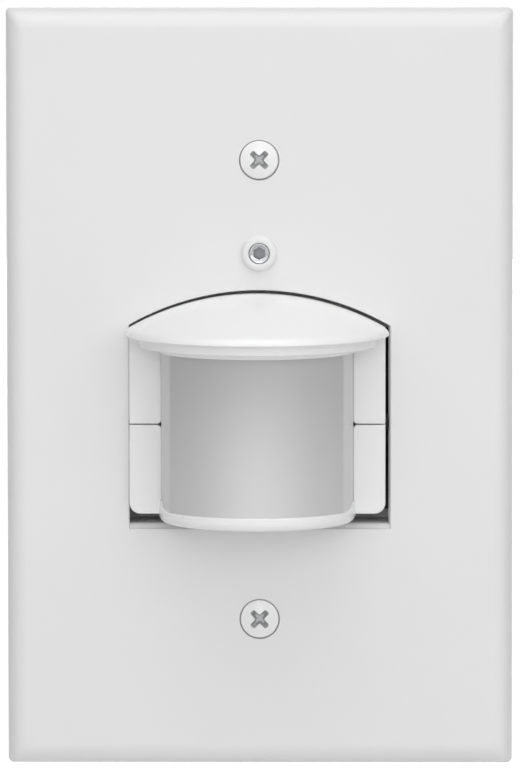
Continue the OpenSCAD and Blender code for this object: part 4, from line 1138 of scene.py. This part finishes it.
# %% Terminals
pair_low, pair_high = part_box("terminal_plates")
pole_low, pole_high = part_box("ground_plate")
term_z = (bind_low.z + bind_high.z) / 2
term_x = bind_high.x - BIND_R
half_w = pair_high.x - term_x
plates = bmesh.new()
heads = bmesh.new()
for side in (-1, 1):
    gather(plates, clamp_plate((side * term_x - half_w, pair_low.y, pair_low.z),
                               (side * term_x + half_w, pair_high.y, pair_high.z)))
    gather(heads, binding_screw(side * term_x, term_z, pair_high.y))
piece("terminal_plate_pair", plates, "brass", [brass], "base", "terminal_plates")
piece("terminal_screw_pair", heads, "brass", [brass], "base", "terminal_screws")
piece("ground_clamp_plate", clamp_plate(pole_low, pole_high), "plated_steel", [zinc], "base", "ground_plate")
piece("ground_binding_screw", binding_screw(0, term_z, pole_high.y), "ground_green", [ground_green], "base",
      "ground_screw")

# %% [markdown]
# ## Finishes inside
# The solids inside the head and the housing keep their CAD shape, because a lens and a plate
# cover them, and each gets the finish of the real part. They show a little through the gaps
# round the head and the cooling slots, and fully when someone takes the switch apart.

# %% Dressing a solid
def dress(finish, *names):
    """Give solids of the frame a finish."""
    for name in names:
        for slot in frame["nodes"][name].material_slots:
            slot.material = finish
    print(finish.name, "on", ", ".join(names))


dress(head_white, "lens_frame", "head_back")
dress(zinc, "head_screws", "board_screws")
# Drawn and nickel-plated can of the detector: bright, faintly brushed round.
dress(nickel, "pyro_detector")

# %% Plain skins
DIPPED = {"detail": 3.0, "relief": (0.1, 0.03 * MM)}
# Each row: the real material, its own sockets, two shades, patch size in mm, recipe, solids.
PLAIN = [
    # Hardened spring steel, oiled: nearly black, with a dull shine.
    ("oiled_spring_steel", {"Metallic": 1.0, "Roughness": 0.42}, "#36373A", "#4E4F52", 0.7, {"detail": 3.0},
     ("pivot_pins", "friction_washer")),
    # Glass-filled epoxy, moulded black: matt and even, as chips and relays are.
    ("moulded_black_epoxy", {"IOR": 1.53, "Roughness": 0.48}, "#17181A", "#232427", 0.6, DIPPED,
     ("relay", "control_chip", "bridge_rectifier")),
    # Natural nylon of connectors and the trimmer's rotor: creamy and waxy.
    ("natural_moulded_nylon", {"IOR": 1.53, "Roughness": 0.42}, "#DDD6C0", "#E9E4D2", 2.0, DIPPED,
     ("head_connector", "board_connector", "trimmer_rotor")),
    # Glass-filled plastic of the trimmer, dyed blue: dull, slightly streaked.
    ("blue_moulded_polyester", {"IOR": 1.53, "Roughness": 0.44}, "#20467C", "#2C5A98", 1.2, DIPPED,
     ("trimmer_case",)),
    # Epoxy-filled box of the film capacitor: yellow, smooth, a little glossy.
    ("yellow_boxed_polypropylene", {"IOR": 1.53, "Roughness": 0.34}, "#C99A1C", "#DDB23A", 3.0, DIPPED,
     ("film_capacitor",)),
    # Dipped epoxy of the varistor: blue, uneven and glossy like enamel.
    ("blue_dipped_epoxy", {"IOR": 1.53, "Roughness": 0.25}, "#1D5A8E", "#2F79B4", 1.0, DIPPED, ("varistor",)),
    # Coated silicon of the detector's window: nearly black to the eye, with a smooth dull mirror.
    ("coated_silicon_window", {"IOR": 2.2}, "#1C1A1E", "#2A262C", 0.8, {"gloss": (0.1, 0.22)},
     ("detector_window",)),
    # Red epoxy of the indicator: clear, deep, with a smooth skin.
    ("clear_red_epoxy", {"IOR": 1.54, "Roughness": 0.12, "Transmission Weight": 0.4}, "#A3161A", "#D22B2B",
     1.5, {}, ("indicator_led",)),
]
for title, sockets, dark, pale, patch_mm, recipe, solids in PLAIN:
    dress(patchy(title, sockets, dark, pale, patch_mm * MM, **recipe), *solids)

# %% Circuit boards
TRACK = 1.6 * MM

# Glass-epoxy board under dull green solder mask: copper tracks stand out as paler lines.
mask_green, tree, shader, place = surface("green_solder_mask_on_glass_epoxy", {"IOR": 1.55, "Roughness": 0.6})
flat_on = node(tree, "ShaderNodeMapping", {"Vector": place, "Rotation": (pi / 2, 0, 0)})
tracks = node(tree, "ShaderNodeTexBrick", {"Vector": flat_on.outputs[0], "Scale": 1 / (10 * TRACK),
                                           "Mortar Size": 0.1, "Mortar Smooth": 0.1, "Brick Width": 1.3,
                                           "Row Height": 0.4, "Color1": linear("#33483C"),
                                           "Color2": linear("#384E42"), "Mortar": linear("#4A6153")})
bump = node(tree, "ShaderNodeBump", {"Height": tracks.outputs["Fac"], "Strength": 0.3, "Distance": 0.04 * MM})
tree.links.new(tracks.outputs["Color"], shader.inputs["Base Color"])
tree.links.new(bump.outputs[0], shader.inputs["Normal"])
dress(mask_green, "main_board", "sensor_board")

# %% Light cell and ribbon
COMB = 0.6 * MM
WIRE_PITCH = 1.27 * MM

# Light cell: red sulphide between comb-like tracks, under clear lacquer.
light_cell, tree, shader, place = surface("lacquered_light_cell", {"IOR": 1.5, "Roughness": 0.2})
comb = node(tree, "ShaderNodeTexWave", {"Vector": place, "Scale": WAVE / COMB,
                                        "Distortion": 0.0}, bands_direction="Z")
tint = node(tree, "ShaderNodeMix", {0: comb.outputs["Fac"], 6: linear("#7A2A1E"), 7: linear("#C9A88E")},
            data_type="RGBA")
tree.links.new(tint.outputs[2], shader.inputs["Base Color"])
dress(light_cell, "light_sensor")

# Flat ribbon cable: grey vinyl, ribbed once for each of its wires.
vinyl, tree, shader, place = surface("ribbed_grey_vinyl", {"IOR": 1.53, "Roughness": 0.45})
ribs = node(tree, "ShaderNodeTexWave", {"Vector": place, "Scale": WAVE / WIRE_PITCH},
            bands_direction="X", wave_profile="SIN")
tint = node(tree, "ShaderNodeMix", {0: ribs.outputs["Fac"], 6: linear("#6E7072"), 7: linear("#8E9092")},
            data_type="RGBA")
bump = node(tree, "ShaderNodeBump", {"Height": ribs.outputs["Fac"], "Strength": 0.5, "Distance": 0.2 * MM})
tree.links.new(tint.outputs[2], shader.inputs["Base Color"])
tree.links.new(bump.outputs[0], shader.inputs["Normal"])
dress(vinyl, "sensor_ribbon")

# %% Capacitor sleeve
# Shrink sleeve on the smoothing capacitor: dark blue film, bare aluminium at its end.
can_low, can_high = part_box("smoothing_capacitor")
sleeve, tree, shader, place = surface("dark_blue_shrink_sleeve", {"IOR": 1.5, "Roughness": 0.3})
split = node(tree, "ShaderNodeSeparateXYZ", {0: place})
bare = node(tree, "ShaderNodeMath", {0: split.outputs["Y"], 1: (can_low.y + 3 * can_high.y) / 4},
            operation="GREATER_THAN")
cloud = node(tree, "ShaderNodeTexNoise", {"Vector": place, "Scale": 1 / (4 * MM)})
film = node(tree, "ShaderNodeMix", {0: cloud.outputs["Fac"], 6: linear("#1C2C50"), 7: linear("#263A66")},
            data_type="RGBA")
tint = node(tree, "ShaderNodeMix", {0: bare.outputs[0], 6: film.outputs[2], 7: linear("#AEB6C6")},
            data_type="RGBA")
tree.links.new(tint.outputs[2], shader.inputs["Base Color"])
dress(sleeve, "smoothing_capacitor")

# %% Fuse
FUSE_CAP = 4.6 * MM
# Glass fuse: clear tube in the middle, plated caps on its ends.
fuse_low, fuse_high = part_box("fuse")
fuse_glass, tree, shader, place = surface("capped_glass_tube", {"IOR": 1.5, "Roughness": 0.15})
split = node(tree, "ShaderNodeSeparateXYZ", {0: place})
across = node(tree, "ShaderNodeMath", {0: split.outputs["X"], 1: (fuse_low.x + fuse_high.x) / 2},
              operation="SUBTRACT")
across = node(tree, "ShaderNodeMath", {0: across.outputs[0]}, operation="ABSOLUTE")
cap = node(tree, "ShaderNodeMath", {0: across.outputs[0], 1: (fuse_high.x - fuse_low.x) / 2 - FUSE_CAP},
           operation="GREATER_THAN")
cloud = node(tree, "ShaderNodeTexNoise", {"Vector": place, "Scale": 1 / (2 * MM)})
metal = node(tree, "ShaderNodeMix", {0: cloud.outputs["Fac"], 6: linear("#A6A8AA"), 7: linear("#C6C8CA")},
             data_type="RGBA")
tint = node(tree, "ShaderNodeMix", {0: cap.outputs[0], 6: linear("#DDE6E4"), 7: metal.outputs[2]},
            data_type="RGBA")
tree.links.new(tint.outputs[2], shader.inputs["Base Color"])
tree.links.new(cap.outputs[0], shader.inputs["Metallic"])
dress(fuse_glass, "fuse")

# %% Solids without a finish
left = [name for name, solid in frame["nodes"].items() if not solid.hide_render
        and any(s.material is None or s.material.name.startswith("slot") for s in solid.material_slots)]
print("solids that still wear a plain colour:", left)
